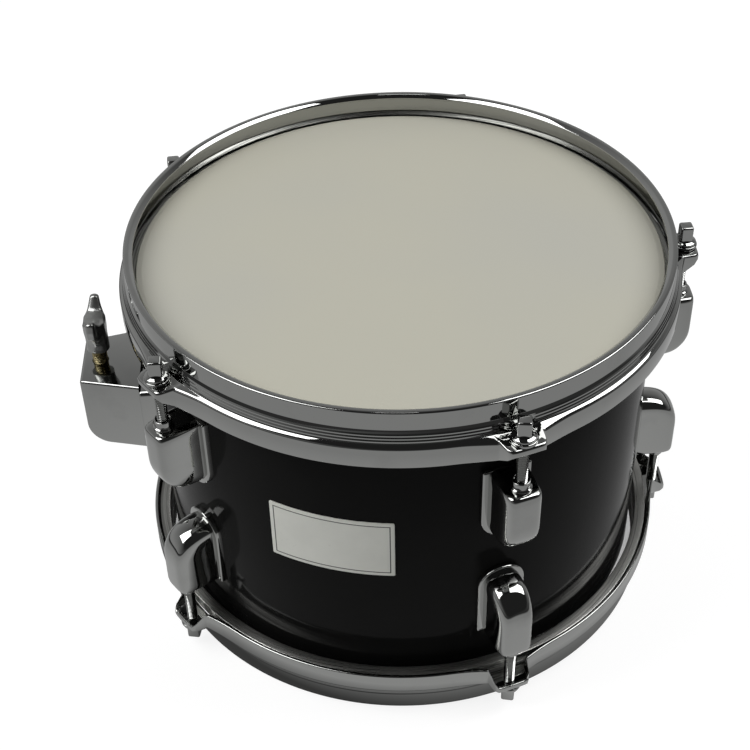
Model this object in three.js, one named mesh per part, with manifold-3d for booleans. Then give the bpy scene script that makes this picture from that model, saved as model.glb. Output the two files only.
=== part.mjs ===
// A ten-inch tom-tom: a wooden shell with a head on each end, each head held by a pressed steel hoop,
// five tension rods and five lugs, with a cast bracket on the shell that clamps the tube of a stand.
// Millimetres, +Z up. The origin is the centre of the box round the drum, on the plane that the lower hoop
// rests on, so the drum's axis stands a little to the +X side of it.
// Angles run counter-clockwise from +X. The bracket is on the -X side, opposite rod and lug number 1.

import * as THREE from 'three';
import { mergeVertices } from 'three/addons/utils/BufferGeometryUtils.js';
import Module from 'manifold-3d';

const wasm = await Module();
wasm.setup();

// Whole drum
const DRUM_HEIGHT = 200;
const LUG_COUNT = 5;
const PART_GAP = 0.3;
const CUT_OVERRUN = 2;

// Smoothness of round pieces, in counts
const RING_STEPS = 72;
const HEAD_STEPS = 48;
const HOLE_STEPS = 16;
const SQUARE_STEPS = 4;
const SHAFT_STEPS = 12;
const CORNER_STEPS = 3;
const EAR_TONGUE_STEPS = 3;
const EAR_FLARE_STEPS = 4;
const PLAIN_ZONE_STEPS = 8;

// Shell
const SHELL_RADIUS = 127;
const SHELL_WALL = 7.5;
const BEARING_EDGE_INSET = 2.5;
const BEARING_EDGE_FALL = 2.2;
const BEARING_INNER_FALL = 4.5;

// Heads: a film over the bearing edge, tucked into a metal flesh hoop
const HEAD_RECESS = 12.5;
const FILM_THICKNESS = 0.35;
const FILM_COLLAR_CLEARANCE = 2.9;
const FILM_SLOPE_FALL = 1.0;
const FILM_EDGE_FALL = 9;
const FLESH_HOOP_CLEARANCE = 0.7;
const FLESH_HOOP_HEIGHT = 11.2;

// Hoops: a pressed sheet with a lip that turns inward, an upright collar, a sloping flange, a down-turned
// skirt, and at each rod an ear: a short tongue with a long flare on both sides
const HOOP_STAND_OFF = 5.9;
const HOOP_SHEET = 1.9;
const HOOP_LIP_REACH = 2.6;
const HOOP_LIP_DEPTH = 2.7;
const HOOP_LIP_INNER_FALL = 1.6;
const HOOP_LIP_OUTER_FALL = 1.1;
const HOOP_CREST_INSET = 1;
const HOOP_CREST_WIDTH = 1.3;
const HOOP_COLLAR_HEIGHT = 9.7;
const HOOP_FLANGE_WIDTH = 2.1;
const HOOP_SHOULDER_RECESS = 16.2;
const HOOP_BEAD_WIDTH = 1.9;
const HOOP_BEAD_ROUND = 1.4;
const HOOP_EAR_RECESS = 17.6;
const HOOP_SKIRT_RECESS = 28.4;
const EAR_TIP_COVER = 6.1;
const EAR_FLAT_HALF_WIDTH = 6.5;
const EAR_HALF_WIDTH = 9.3;
const EAR_FLARE_HALF_WIDTH = 30;
const EAR_FLARE_SHARE = 0.42;
const EAR_LIP_RECESS = 21.4;

// Tension rods: a square head on a round collar, over a threaded shaft
const ROD_STAND_OFF = 3.9;
const ROD_RADIUS = 2.74;
const ROD_TIP_CHAMFER = 0.8;
const ROD_SHAFT_LENGTH = 42;
const ROD_COLLAR_RADIUS = 5.6;
const ROD_COLLAR_HEIGHT = 1.8;
const ROD_HEAD_WIDTH = 6.4;
const ROD_HEAD_HEIGHT = 8.2;
const ROD_HEAD_DOME = 1.2;

// Washers under the rod collars
const WASHER_RADIUS = 6.2;
const WASHER_THICKNESS = 1.5;

// Lugs: a hollow casting on a thin base flange, flat where the rod enters and domed at its other end
const LUG_TOP_RECESS = 46;
const LUG_PAIR_GAP = 23;
const LUG_NOSE_COVER = 8.4;
const LUG_SHOULDER_COVER = 3.1;
const LUG_WALL = 2;
const LUG_FLANGE_HALF_WIDTH = 12;
const LUG_FLANGE_THICKNESS = 3;
const LUG_FLANGE_ARCH = 11.5;
const LUG_BODY_HALF_WIDTH = 10.6;
const LUG_SHOULDER_HALF_WIDTH = 9.7;
const LUG_NOSE_HALF_WIDTH = 6.4;
const LUG_FLANGE_SHOW = 1.5;
const LUG_DOME_LENGTH = 19;
const LUG_DOME_REACH = 20;
const LUG_BODY_ARCH = 10;

// Swivel nuts, caught behind the end wall of each lug
const NUT_RADIUS = 4.2;
const NUT_LENGTH = 20;
const NUT_STAND_OUT = 5;
const NUT_FLANGE_RADIUS = 6;
const NUT_FLANGE_THICKNESS = 1.6;
const NUT_BORE_CLEARANCE = 0.4;
const NUT_SWIVEL_CLEARANCE = 1;

// Badge on the front of the shell, between two lugs
const BADGE_WIDTH = 61;
const BADGE_HEIGHT = 35;
const BADGE_THICKNESS = 0.6;
const BADGE_CORNER = 0.8;
const BADGE_CENTRE_HEIGHT = 108;
const BADGE_OFFSET = 1.9;

// Air vent with its eyelet, on the back of the shell
const VENT_BORE_RADIUS = 4.5;
const VENT_TUBE_WALL = 0.8;
const VENT_FLANGE_RADIUS = 8.5;
const VENT_FLANGE_THICKNESS = 0.9;
const VENT_HEIGHT = 100;

// Stand bracket: a foot on the shell and a housing with a round socket for the stand's tube
const BRACKET_CENTRE_HEIGHT = 106.5;
const BRACKET_FOOT_REACH = 7.4;
const BRACKET_FOOT_HALF_WIDTH = 26.5;
const BRACKET_FOOT_HEIGHT = 37;
const BRACKET_FOOT_CORNER = 2.5;
const BRACKET_REACH = 38;
const BRACKET_HEIGHT = 41;
const BRACKET_ROOT_HALF_WIDTH = 24.5;
const BRACKET_NOSE_HALF_WIDTH = 17;
const BRACKET_CORNER = 11;
const BRACKET_TOP_CORNER = 1.5;
const SOCKET_RADIUS = 11.4;
const SOCKET_DROP = 2.5;

// Clamp block above the socket, and the wing bolt that drives it down
const CLAMP_LENGTH = 17;
const CLAMP_WIDTH = 16;
const CLAMP_HEIGHT = 8.5;
const CLAMP_BOLT_SEAT_DEPTH = 3.2;
const CLAMP_CENTRE_REACH = 28.5;
const CLAMP_TUBE_CLEARANCE = 0.4;
const BOLT_RADIUS = 3.9;
const BOLT_TIP_RADIUS = 2.9;
const BOLT_STAND_OUT = 6.8;
const WING_HUB_RADIUS = 5.8;
const WING_HUB_TOP_RADIUS = 5.4;
const WING_HUB_HEIGHT = 18;
const WING_HEIGHT = 25;
const WING_SPAN = 29;
const WING_THICKNESS = 4.7;
const WING_LOBE_HEIGHT = 11;
const WING_NOTCH_DEPTH = 7.5;
const WING_ROOT_HEIGHT = 5;

// Screws that hold the bracket from inside the shell, over a backing plate
const BRACKET_SCREW_SPREAD = 37;
const BRACKET_SCREW_RISE = 22;
const BRACKET_SCREW_RADIUS = 2.2;
const BRACKET_SCREW_GRIP = 5;
const BRACKET_SCREW_HEAD_RADIUS = 4.4;
const BRACKET_SCREW_HEAD_HEIGHT = 2.6;
const BACKING_PLATE_THICKNESS = 2;
const BACKING_PLATE_WIDTH = 50;
const BACKING_PLATE_HEIGHT = 34;

const FULL_TURN = 2 * Math.PI;
const QUARTER_TURN = Math.PI / 2;
const LUG_STEP = FULL_TURN / LUG_COUNT;
const BRACKET_AZIMUTH = Math.PI;
const BADGE_AZIMUTH = -1.5 * LUG_STEP - BADGE_OFFSET / SHELL_RADIUS;
const VENT_AZIMUTH = 1.5 * LUG_STEP;

// Materials, one for each piece
const finish = (color, roughness, metalness) =>
  new THREE.MeshStandardMaterial({ color, roughness, metalness });
const chrome = () => finish(0xb9bec2, 0.08, 1);
const plainSteel = () => finish(0x9a9c9e, 0.35, 1);
const zincYellow = () => finish(0xa79a62, 0.3, 1);
const aluminium = () => finish(0xb4b6b8, 0.4, 1);
const blackLacquer = () => finish(0x101010, 0.1, 0);
const coatedFilm = () => finish(0xcfccc2, 0.6, 0);
const clearFilm = () => finish(0xdadfe0, 0.15, 0);
const badgePlate = () => finish(0xe6e4d2, 0.4, 0);

function place(parent, name, geometry, material) {
  const mesh = new THREE.Mesh(geometry, material);
  mesh.name = name;
  parent.add(mesh);
  return mesh;
}

// Solids: joining and cutting closed meshes
function toSolid(geometry) {
  const bare = geometry.clone();
  bare.deleteAttribute('normal');
  bare.deleteAttribute('uv');
  const merged = mergeVertices(bare);
  const vertProperties = new Float32Array(merged.attributes.position.array);
  const triVerts = new Uint32Array(merged.index.array);
  return new wasm.Manifold(new wasm.Mesh({ numProp: 3, vertProperties, triVerts }));
}

function toGeometry(solid) {
  const mesh = solid.getMesh();
  const geometry = new THREE.BufferGeometry();
  geometry.setAttribute('position', new THREE.BufferAttribute(mesh.vertProperties, mesh.numProp));
  geometry.setIndex(new THREE.BufferAttribute(mesh.triVerts, 1));
  geometry.computeVertexNormals();
  return geometry;
}

function cut(geometry, ...tools) {
  return toGeometry(tools.reduce((solid, tool) => solid.subtract(toSolid(tool)), toSolid(geometry)));
}

function join(geometry, ...others) {
  return toGeometry(others.reduce((solid, other) => solid.add(toSolid(other)), toSolid(geometry)));
}

function common(geometry, ...others) {
  return toGeometry(others.reduce((solid, other) => solid.intersect(toSolid(other)), toSolid(geometry)));
}

// Round pieces about Z. The profile is a list of [radius, z] points with the outer side going up.
function turned(profile, steps) {
  const points = profile.map(([radius, z]) => new THREE.Vector2(radius, z));
  return new THREE.LatheGeometry(points, steps).rotateX(QUARTER_TURN);
}

function turnedRing(profile, steps) {
  return turned([...profile, profile[0]], steps);
}

function disc(radius, fromZ, toZ, steps) {
  return turned([[0, fromZ], [radius, fromZ], [radius, toZ], [0, toZ]], steps);
}

// A prism from a flat outline: drawn in X and Y and raised along Z
function raised(outline, fromZ, toZ) {
  const shape = new THREE.Shape(outline.map(([x, y]) => new THREE.Vector2(x, y)));
  const geometry = new THREE.ExtrudeGeometry(shape, { depth: toZ - fromZ, bevelEnabled: false });
  return geometry.translate(0, 0, fromZ);
}

// A prism whose outline is drawn in X and Z, and that runs along Y from -halfWidth to halfWidth
function sideways(outline, halfWidth) {
  return raised(outline, -halfWidth, halfWidth).rotateX(QUARTER_TURN);
}

// A prism whose outline is drawn in Y and Z, and that runs along X
function outward(outline, fromX, toX) {
  return raised(outline, fromX, toX).rotateX(QUARTER_TURN).rotateZ(QUARTER_TURN);
}

// Points of an elliptical arc about a centre, both ends included
function arc(centreX, centreY, radiusX, radiusY, fromTurn, toTurn, steps) {
  return Array.from({ length: steps + 1 }, (_, i) => {
    const angle = FULL_TURN * (fromTurn + ((toTurn - fromTurn) * i) / steps);
    return [centreX + radiusX * Math.cos(angle), centreY + radiusY * Math.sin(angle)];
  });
}

function roundedRectangle(halfWidth, halfHeight, corner) {
  const x = halfWidth - corner;
  const y = halfHeight - corner;
  return [
    ...arc(x, -y, corner, corner, -0.25, 0, CORNER_STEPS),
    ...arc(x, y, corner, corner, 0, 0.25, CORNER_STEPS),
    ...arc(-x, y, corner, corner, 0.25, 0.5, CORNER_STEPS),
    ...arc(-x, -y, corner, corner, 0.5, 0.75, CORNER_STEPS),
  ];
}

// A round rod along X, for bores that point away from the axis
function radialRod(radius, fromX, toX, steps) {
  return disc(radius, fromX, toX, steps).rotateY(QUARTER_TURN);
}

// A group whose X axis points outward at an angle round the drum
function spoke(parent, azimuth, height) {
  const group = new THREE.Group();
  group.rotation.z = azimuth;
  group.position.z = height;
  parent.add(group);
  return group;
}

// Each ring round the shell is placed from the one inside it, and the lugs and ears from the circle of
// the rods.
const HOOP_INNER_RADIUS = SHELL_RADIUS + HOOP_STAND_OFF;
const HOOP_COLLAR_RADIUS = HOOP_INNER_RADIUS + HOOP_SHEET;
const HOOP_SHOULDER_RADIUS = HOOP_COLLAR_RADIUS + HOOP_FLANGE_WIDTH;
const HOOP_BEAD_RADIUS = HOOP_SHOULDER_RADIUS + HOOP_BEAD_WIDTH;
const ROD_CIRCLE_RADIUS = HOOP_BEAD_RADIUS + ROD_STAND_OFF;
const LUG_ROOT = SHELL_RADIUS + PART_GAP;
const LUG_NOSE = ROD_CIRCLE_RADIUS + LUG_NOSE_COVER;
const LUG_LENGTH = (DRUM_HEIGHT - LUG_PAIR_GAP) / 2 - LUG_TOP_RECESS;

// Everything stands about the drum's axis, which is set off from the origin by half of what the bracket
// reaches out beyond the lugs.
const BRACKET_ROOT = SHELL_RADIUS + PART_GAP;
const BRACKET_NOSE = BRACKET_ROOT + BRACKET_REACH;
const drum = new THREE.Group();
const aboutAxis = new THREE.Group();
aboutAxis.position.x = (BRACKET_NOSE - LUG_NOSE) / 2;
drum.add(aboutAxis);

function shellSkin(radius, halfHeight) {
  return disc(radius, -halfHeight, halfHeight, 2 * RING_STEPS);
}

// Shell: a tube with a bevelled bearing edge at each end, an air vent and the bracket's screw holes
const SHELL_INSET = HEAD_RECESS + FILM_THICKNESS + PART_GAP;
const SHELL_INNER_RADIUS = SHELL_RADIUS - SHELL_WALL;
const BEARING_EDGE_RADIUS = SHELL_RADIUS - BEARING_EDGE_INSET;

function bracketScrewSites() {
  const sites = [];
  for (const side of [-1, 1]) {
    for (const level of [-1, 1]) {
      sites.push([(side * BRACKET_SCREW_SPREAD) / 2, (level * BRACKET_SCREW_RISE) / 2]);
    }
  }
  return sites;
}

function bracketScrewHoles(fromX, toX) {
  return bracketScrewSites().map(([y, z]) =>
    radialRod(BRACKET_SCREW_RADIUS + PART_GAP, fromX, toX, SHAFT_STEPS).translate(0, y, z));
}

function shellGeometry() {
  const bottom = SHELL_INSET;
  const top = DRUM_HEIGHT - SHELL_INSET;
  const tube = turnedRing([
    [SHELL_INNER_RADIUS, bottom + BEARING_INNER_FALL],
    [BEARING_EDGE_RADIUS, bottom],
    [SHELL_RADIUS, bottom + BEARING_EDGE_FALL],
    [SHELL_RADIUS, top - BEARING_EDGE_FALL],
    [BEARING_EDGE_RADIUS, top],
    [SHELL_INNER_RADIUS, top - BEARING_INNER_FALL],
  ], RING_STEPS);
  const ventHoleRadius = VENT_BORE_RADIUS + VENT_TUBE_WALL + PART_GAP;
  const ventHole = radialRod(ventHoleRadius, 0, SHELL_RADIUS + CUT_OVERRUN, HOLE_STEPS)
    .rotateZ(VENT_AZIMUTH)
    .translate(0, 0, VENT_HEIGHT);
  const screwHoles = bracketScrewHoles(0, SHELL_RADIUS + CUT_OVERRUN)
    .map((hole) => hole.rotateZ(BRACKET_AZIMUTH).translate(0, 0, BRACKET_CENTRE_HEIGHT));
  return cut(tube, ventHole, ...screwHoles);
}

// Badge: a thin plate that follows the shell
function badgeGeometry() {
  const plate = outward(
    roundedRectangle(BADGE_WIDTH / 2, BADGE_HEIGHT / 2, BADGE_CORNER),
    0,
    SHELL_RADIUS + BADGE_THICKNESS + CUT_OVERRUN,
  );
  const outer = shellSkin(SHELL_RADIUS + PART_GAP + BADGE_THICKNESS, BADGE_HEIGHT);
  return cut(common(plate, outer), shellSkin(SHELL_RADIUS + PART_GAP, BADGE_HEIGHT));
}

// Vent eyelet: a tube through the shell with a flange on each side
function ventGeometry() {
  const flangeSag = SHELL_INNER_RADIUS - Math.sqrt(SHELL_INNER_RADIUS ** 2 - VENT_FLANGE_RADIUS ** 2);
  const outerSeat = SHELL_RADIUS + PART_GAP;
  const innerSeat = SHELL_INNER_RADIUS - flangeSag - PART_GAP;
  const tubeRadius = VENT_BORE_RADIUS + VENT_TUBE_WALL;
  return turnedRing([
    [VENT_BORE_RADIUS, innerSeat - VENT_FLANGE_THICKNESS],
    [VENT_FLANGE_RADIUS, innerSeat - VENT_FLANGE_THICKNESS],
    [VENT_FLANGE_RADIUS, innerSeat],
    [tubeRadius, innerSeat],
    [tubeRadius, outerSeat],
    [VENT_FLANGE_RADIUS, outerSeat],
    [VENT_BORE_RADIUS, outerSeat + VENT_FLANGE_THICKNESS],
  ], HOLE_STEPS).rotateY(QUARTER_TURN);
}

// Pieces of one end of the drum. Each end has its own group, with its rim plane at z = 0 and +Z pointing out,
// so a recess is a distance below the rim.

const HOOP_CREST_RADIUS = HOOP_COLLAR_RADIUS - HOOP_CREST_INSET;
const HOOP_SLOPE_RADIUS = (HOOP_COLLAR_RADIUS + HOOP_SHOULDER_RADIUS) / 2;
const HOOP_SLOPE_RECESS = (HOOP_COLLAR_HEIGHT + HOOP_SHOULDER_RECESS + HOOP_BEAD_ROUND) / 2;
const HOOP_SLOPE_INNER_RADIUS = HOOP_SLOPE_RADIUS - HOOP_SHEET;
const HOOP_SLOPE_UNDER_RECESS = HOOP_SLOPE_RECESS + HOOP_SHEET / 2;
const HOOP_SHOULDER_INNER_RADIUS = HOOP_SHOULDER_RADIUS - HOOP_SHEET / 2;
const HOOP_UNDER_RECESS = HOOP_EAR_RECESS + HOOP_SHEET;
const EAR_FLAT_RADIUS = ROD_CIRCLE_RADIUS - WASHER_RADIUS - PART_GAP;
const FILM_COLLAR_RADIUS = HOOP_INNER_RADIUS - FILM_COLLAR_CLEARANCE;

// Head film: flat over the shell, sloping past the bearing edge, with its edge turned down
function filmGeometry() {
  const slopeStart = BEARING_EDGE_RADIUS;
  const inner = FILM_COLLAR_RADIUS - FILM_THICKNESS;
  const outerTop = -HEAD_RECESS - FILM_SLOPE_FALL;
  const edge = outerTop - FILM_EDGE_FALL;
  return turned([
    [0, -HEAD_RECESS - FILM_THICKNESS],
    [slopeStart, -HEAD_RECESS - FILM_THICKNESS],
    [inner, outerTop - FILM_THICKNESS],
    [inner, edge],
    [FILM_COLLAR_RADIUS, edge],
    [FILM_COLLAR_RADIUS, outerTop],
    [slopeStart, -HEAD_RECESS],
    [0, -HEAD_RECESS],
  ], HEAD_STEPS);
}

// Flesh hoop: the metal ring that the film's edge sits in, shouldered to fit under the hoop's flange
function fleshHoopGeometry() {
  const inner = FILM_COLLAR_RADIUS + PART_GAP;
  const outer = HOOP_BEAD_RADIUS - HOOP_SHEET - FLESH_HOOP_CLEARANCE;
  const top = -HOOP_SLOPE_UNDER_RECESS - FLESH_HOOP_CLEARANCE;
  const bottom = top - FLESH_HOOP_HEIGHT;
  return turnedRing([
    [inner, bottom],
    [outer, bottom],
    [outer, -HOOP_UNDER_RECESS - HOOP_BEAD_ROUND / 2 - FLESH_HOOP_CLEARANCE],
    [HOOP_SLOPE_INNER_RADIUS - FLESH_HOOP_CLEARANCE / 2, top],
    [inner, top],
  ], HEAD_STEPS);
}

// How far out the ear stands at a distance along the hoop from its rod: 1 over the flat, then the round
// corner of the tongue, then the flare, and 0 beyond it
function earShare(distance) {
  if (distance > EAR_HALF_WIDTH) {
    const flare = (EAR_FLARE_HALF_WIDTH - distance) / (EAR_FLARE_HALF_WIDTH - EAR_HALF_WIDTH);
    return EAR_FLARE_SHARE * Math.max(0, flare) ** 2;
  }
  const corner = (distance - EAR_FLAT_HALF_WIDTH) / (EAR_HALF_WIDTH - EAR_FLAT_HALF_WIDTH);
  const round = Math.sqrt(1 - Math.max(0, corner) ** 2);
  return THREE.MathUtils.lerp(EAR_FLARE_SHARE, 1, round);
}

// The hoop's cross-section where the ear has a given share, as a closed list of [radius, z]
function hoopSection(ear) {
  const beadRadius = THREE.MathUtils.lerp(HOOP_BEAD_RADIUS, ROD_CIRCLE_RADIUS + EAR_TIP_COVER, ear);
  const shoulderRadius = THREE.MathUtils.lerp(HOOP_SHOULDER_RADIUS, EAR_FLAT_RADIUS, ear);
  const shoulderRecess = THREE.MathUtils.lerp(HOOP_SHOULDER_RECESS, HOOP_EAR_RECESS, ear);
  const skirtRecess = THREE.MathUtils.lerp(HOOP_SKIRT_RECESS, EAR_LIP_RECESS, ear ** 2);
  const beadRecess = HOOP_EAR_RECESS + HOOP_BEAD_ROUND * (1 - ear / 2);
  return [
    [HOOP_CREST_RADIUS, 0],
    [HOOP_COLLAR_RADIUS, -HOOP_LIP_OUTER_FALL],
    [HOOP_COLLAR_RADIUS, -HOOP_COLLAR_HEIGHT],
    [HOOP_SLOPE_RADIUS, -HOOP_SLOPE_RECESS],
    [shoulderRadius, -shoulderRecess],
    [beadRadius - HOOP_BEAD_ROUND, -HOOP_EAR_RECESS],
    [beadRadius, -beadRecess],
    [beadRadius, -skirtRecess],
    [beadRadius - HOOP_SHEET, -skirtRecess],
    [beadRadius - HOOP_SHEET, -HOOP_UNDER_RECESS - HOOP_BEAD_ROUND / 2],
    [HOOP_SHOULDER_INNER_RADIUS, -HOOP_UNDER_RECESS],
    [HOOP_SLOPE_INNER_RADIUS, -HOOP_SLOPE_UNDER_RECESS],
    [HOOP_INNER_RADIUS, -HOOP_COLLAR_HEIGHT - HOOP_SHEET / 2],
    [HOOP_INNER_RADIUS, -HOOP_LIP_DEPTH],
    [HOOP_INNER_RADIUS - HOOP_LIP_REACH, -HOOP_LIP_DEPTH],
    [HOOP_INNER_RADIUS - HOOP_LIP_REACH, -HOOP_LIP_INNER_FALL],
    [HOOP_CREST_RADIUS - HOOP_CREST_WIDTH, 0],
  ];
}

function spaced(from, to, steps) {
  return Array.from({ length: steps }, (_, i) => from + ((to - from) * (i + 1)) / steps);
}

// The hoop's sections over one step between rods, as distances along the hoop from the rod: close together
// round the tongue, wider along the flare and widest between the ears
function hoopStations() {
  const side = [
    EAR_FLAT_HALF_WIDTH,
    ...spaced(EAR_FLAT_HALF_WIDTH, EAR_HALF_WIDTH, EAR_TONGUE_STEPS),
    ...spaced(EAR_HALF_WIDTH, EAR_FLARE_HALF_WIDTH, EAR_FLARE_STEPS),
  ];
  const nextEar = LUG_STEP * HOOP_BEAD_RADIUS - EAR_FLARE_HALF_WIDTH;
  const plain = spaced(EAR_FLARE_HALF_WIDTH, nextEar, PLAIN_ZONE_STEPS).slice(0, -1);
  return [...side.map((distance) => -distance).reverse(), ...side, ...plain];
}

function sweptRing(sections) {
  const positions = [];
  const indices = [];
  const size = sections[0].points.length;
  for (const { angle, points } of sections) {
    for (const [radius, z] of points) {
      positions.push(radius * Math.cos(angle), radius * Math.sin(angle), z);
    }
  }
  sections.forEach((_, i) => {
    const next = (i + 1) % sections.length;
    for (let k = 0; k < size; k += 1) {
      const up = (k + 1) % size;
      const corners = [i * size + k, next * size + k, next * size + up, i * size + up];
      indices.push(corners[0], corners[2], corners[1]);
      indices.push(corners[0], corners[3], corners[2]);
    }
  });
  const geometry = new THREE.BufferGeometry();
  geometry.setAttribute('position', new THREE.Float32BufferAttribute(positions, 3));
  geometry.setIndex(indices);
  geometry.computeVertexNormals();
  return geometry;
}

const EAR_HOLE_RADIUS = ROD_RADIUS + 2 * PART_GAP;

function hoopGeometry() {
  const sections = Array.from({ length: LUG_COUNT }, (_, lug) =>
    hoopStations().map((distance) => ({
      angle: lug * LUG_STEP + distance / HOOP_BEAD_RADIUS,
      points: hoopSection(earShare(Math.abs(distance))),
    }))).flat();
  const holes = Array.from({ length: LUG_COUNT }, (_, lug) =>
    disc(EAR_HOLE_RADIUS, -HOOP_SKIRT_RECESS, 0, HOLE_STEPS)
      .translate(ROD_CIRCLE_RADIUS, 0, 0)
      .rotateZ(lug * LUG_STEP));
  return cut(sweptRing(sections), ...holes);
}

const WASHER_SEAT = -HOOP_EAR_RECESS + PART_GAP;
const ROD_SEAT = WASHER_SEAT + WASHER_THICKNESS + PART_GAP;

function washerGeometry() {
  return turnedRing([
    [EAR_HOLE_RADIUS, 0],
    [WASHER_RADIUS, 0],
    [WASHER_RADIUS, WASHER_THICKNESS],
    [EAR_HOLE_RADIUS, WASHER_THICKNESS],
  ], SHAFT_STEPS);
}

// Tension rod, with the underside of its collar at z = 0
function rodGeometry() {
  const headHalf = ROD_HEAD_WIDTH / 2;
  const headTop = ROD_COLLAR_HEIGHT + ROD_HEAD_HEIGHT;
  const shaft = turned([
    [0, -ROD_SHAFT_LENGTH],
    [ROD_RADIUS - ROD_TIP_CHAMFER, -ROD_SHAFT_LENGTH],
    [ROD_RADIUS, -ROD_SHAFT_LENGTH + ROD_TIP_CHAMFER],
    [ROD_RADIUS, 0],
    [ROD_COLLAR_RADIUS, 0],
    [ROD_COLLAR_RADIUS, ROD_COLLAR_HEIGHT],
    [0, ROD_COLLAR_HEIGHT],
  ], SHAFT_STEPS);
  const corner = headHalf * Math.SQRT2;
  const head = turned([
    [0, ROD_COLLAR_HEIGHT / 2],
    [corner, ROD_COLLAR_HEIGHT / 2],
    [corner, headTop - ROD_HEAD_DOME],
    [corner - ROD_HEAD_DOME, headTop],
    [0, headTop],
  ], SQUARE_STEPS).rotateZ(QUARTER_TURN / 2);
  return join(shaft, head);
}

// Lug casting, with its flat end at z = 0, its length running down and its root on the shell
function lugOuter(inset) {
  const root = LUG_ROOT - CUT_OVERRUN;
  const bodyHalf = LUG_BODY_HALF_WIDTH - inset;
  const shoulderHalf = LUG_SHOULDER_HALF_WIDTH - inset;
  const noseHalf = LUG_NOSE_HALF_WIDTH - inset / 2;
  const shoulder = ROD_CIRCLE_RADIUS + LUG_SHOULDER_COVER - inset / 2;
  const nose = LUG_NOSE - inset;
  const bottom = inset + LUG_FLANGE_SHOW - LUG_LENGTH;
  const plan = raised([
    [root, -bodyHalf],
    [shoulder, -shoulderHalf],
    [nose, -noseHalf],
    [nose, noseHalf],
    [shoulder, shoulderHalf],
    [root, bodyHalf],
  ], bottom, -inset);
  const domeReach = LUG_DOME_REACH - inset;
  const domeLength = LUG_DOME_LENGTH - inset;
  const side = sideways([
    [root, -inset],
    [root, bottom],
    ...arc(nose - domeReach, bottom + domeLength, domeReach, domeLength, -0.25, 0, CORNER_STEPS),
    [nose, -inset],
  ], LUG_BODY_HALF_WIDTH);
  const arch = LUG_BODY_ARCH - inset;
  const front = outward([
    ...arc(bodyHalf - arch, bottom + arch, arch, arch, -0.25, 0, CORNER_STEPS),
    [bodyHalf, -inset],
    [-bodyHalf, -inset],
    ...arc(arch - bodyHalf, bottom + arch, arch, arch, 0.5, 0.75, CORNER_STEPS),
  ], root, nose + CUT_OVERRUN);
  return common(plan, side, front);
}

function lugFlange() {
  const half = LUG_FLANGE_HALF_WIDTH;
  const arch = LUG_FLANGE_ARCH;
  const bottom = -LUG_LENGTH;
  return outward([
    ...arc(half - arch, bottom + arch, arch, arch, -0.25, 0, CORNER_STEPS),
    [half, 0],
    [-half, 0],
    ...arc(arch - half, bottom + arch, arch, arch, 0.5, 0.75, CORNER_STEPS),
  ], LUG_ROOT - CUT_OVERRUN, LUG_ROOT + LUG_FLANGE_THICKNESS);
}

function lugGeometry() {
  const body = join(lugOuter(0), lugFlange());
  const nutHole = disc(NUT_RADIUS + NUT_SWIVEL_CLEARANCE, -2 * LUG_WALL, CUT_OVERRUN, HOLE_STEPS)
    .translate(ROD_CIRCLE_RADIUS, 0, 0);
  return cut(body, lugOuter(LUG_WALL), nutHole, shellSkin(LUG_ROOT, LUG_LENGTH + CUT_OVERRUN));
}

// Swivel nut: a threaded barrel with a coned flange that bears on the inside of the lug's end wall
function nutGeometry() {
  const bore = ROD_RADIUS + NUT_BORE_CLEARANCE;
  const flangeTop = -LUG_WALL - PART_GAP;
  const flangeBottom = flangeTop - NUT_FLANGE_THICKNESS;
  const bottom = NUT_STAND_OUT - NUT_LENGTH;
  return turnedRing([
    [bore, bottom],
    [NUT_RADIUS, bottom],
    [NUT_RADIUS, flangeBottom],
    [NUT_FLANGE_RADIUS, flangeTop],
    [NUT_RADIUS, flangeTop],
    [NUT_RADIUS, NUT_STAND_OUT],
    [bore, NUT_STAND_OUT],
  ], SHAFT_STEPS);
}

function buildEnd(prefix, filmMaterial) {
  const end = new THREE.Group();
  aboutAxis.add(end);
  place(end, `${prefix}_film`, filmGeometry(), filmMaterial);
  place(end, `${prefix}_flesh_hoop`, fleshHoopGeometry(), aluminium());
  place(end, `${prefix}_hoop`, hoopGeometry(), chrome());
  for (let lug = 0; lug < LUG_COUNT; lug += 1) {
    const number = lug + 1;
    const at = spoke(end, lug * LUG_STEP, 0);
    place(at, `${prefix}_washer_${number}`, washerGeometry(), chrome())
      .position.set(ROD_CIRCLE_RADIUS, 0, WASHER_SEAT);
    place(at, `${prefix}_rod_${number}`, rodGeometry(), chrome())
      .position.set(ROD_CIRCLE_RADIUS, 0, ROD_SEAT);
    place(at, `${prefix}_lug_${number}`, lugGeometry(), chrome())
      .position.set(0, 0, -LUG_TOP_RECESS);
    place(at, `${prefix}_nut_${number}`, nutGeometry(), plainSteel())
      .position.set(ROD_CIRCLE_RADIUS, 0, -LUG_TOP_RECESS);
  }
  return end;
}

// Stand bracket, with X pointing out from the shell and z = 0 at the bracket's middle
const BRACKET_HOUSING_ROOT = BRACKET_ROOT + BRACKET_FOOT_REACH + PART_GAP;
const BRACKET_TOP = BRACKET_HEIGHT / 2;
const CLAMP_X = BRACKET_ROOT + CLAMP_CENTRE_REACH;
const CLAMP_BOTTOM = -SOCKET_DROP + SOCKET_RADIUS * Math.cos(Math.asin(CLAMP_WIDTH / 2 / SOCKET_RADIUS));
const CLAMP_TOP = CLAMP_BOTTOM + CLAMP_HEIGHT;

function socketCutter(fromX, toX) {
  return radialRod(SOCKET_RADIUS, fromX, toX, 2 * HOLE_STEPS).translate(0, 0, -SOCKET_DROP);
}

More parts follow.
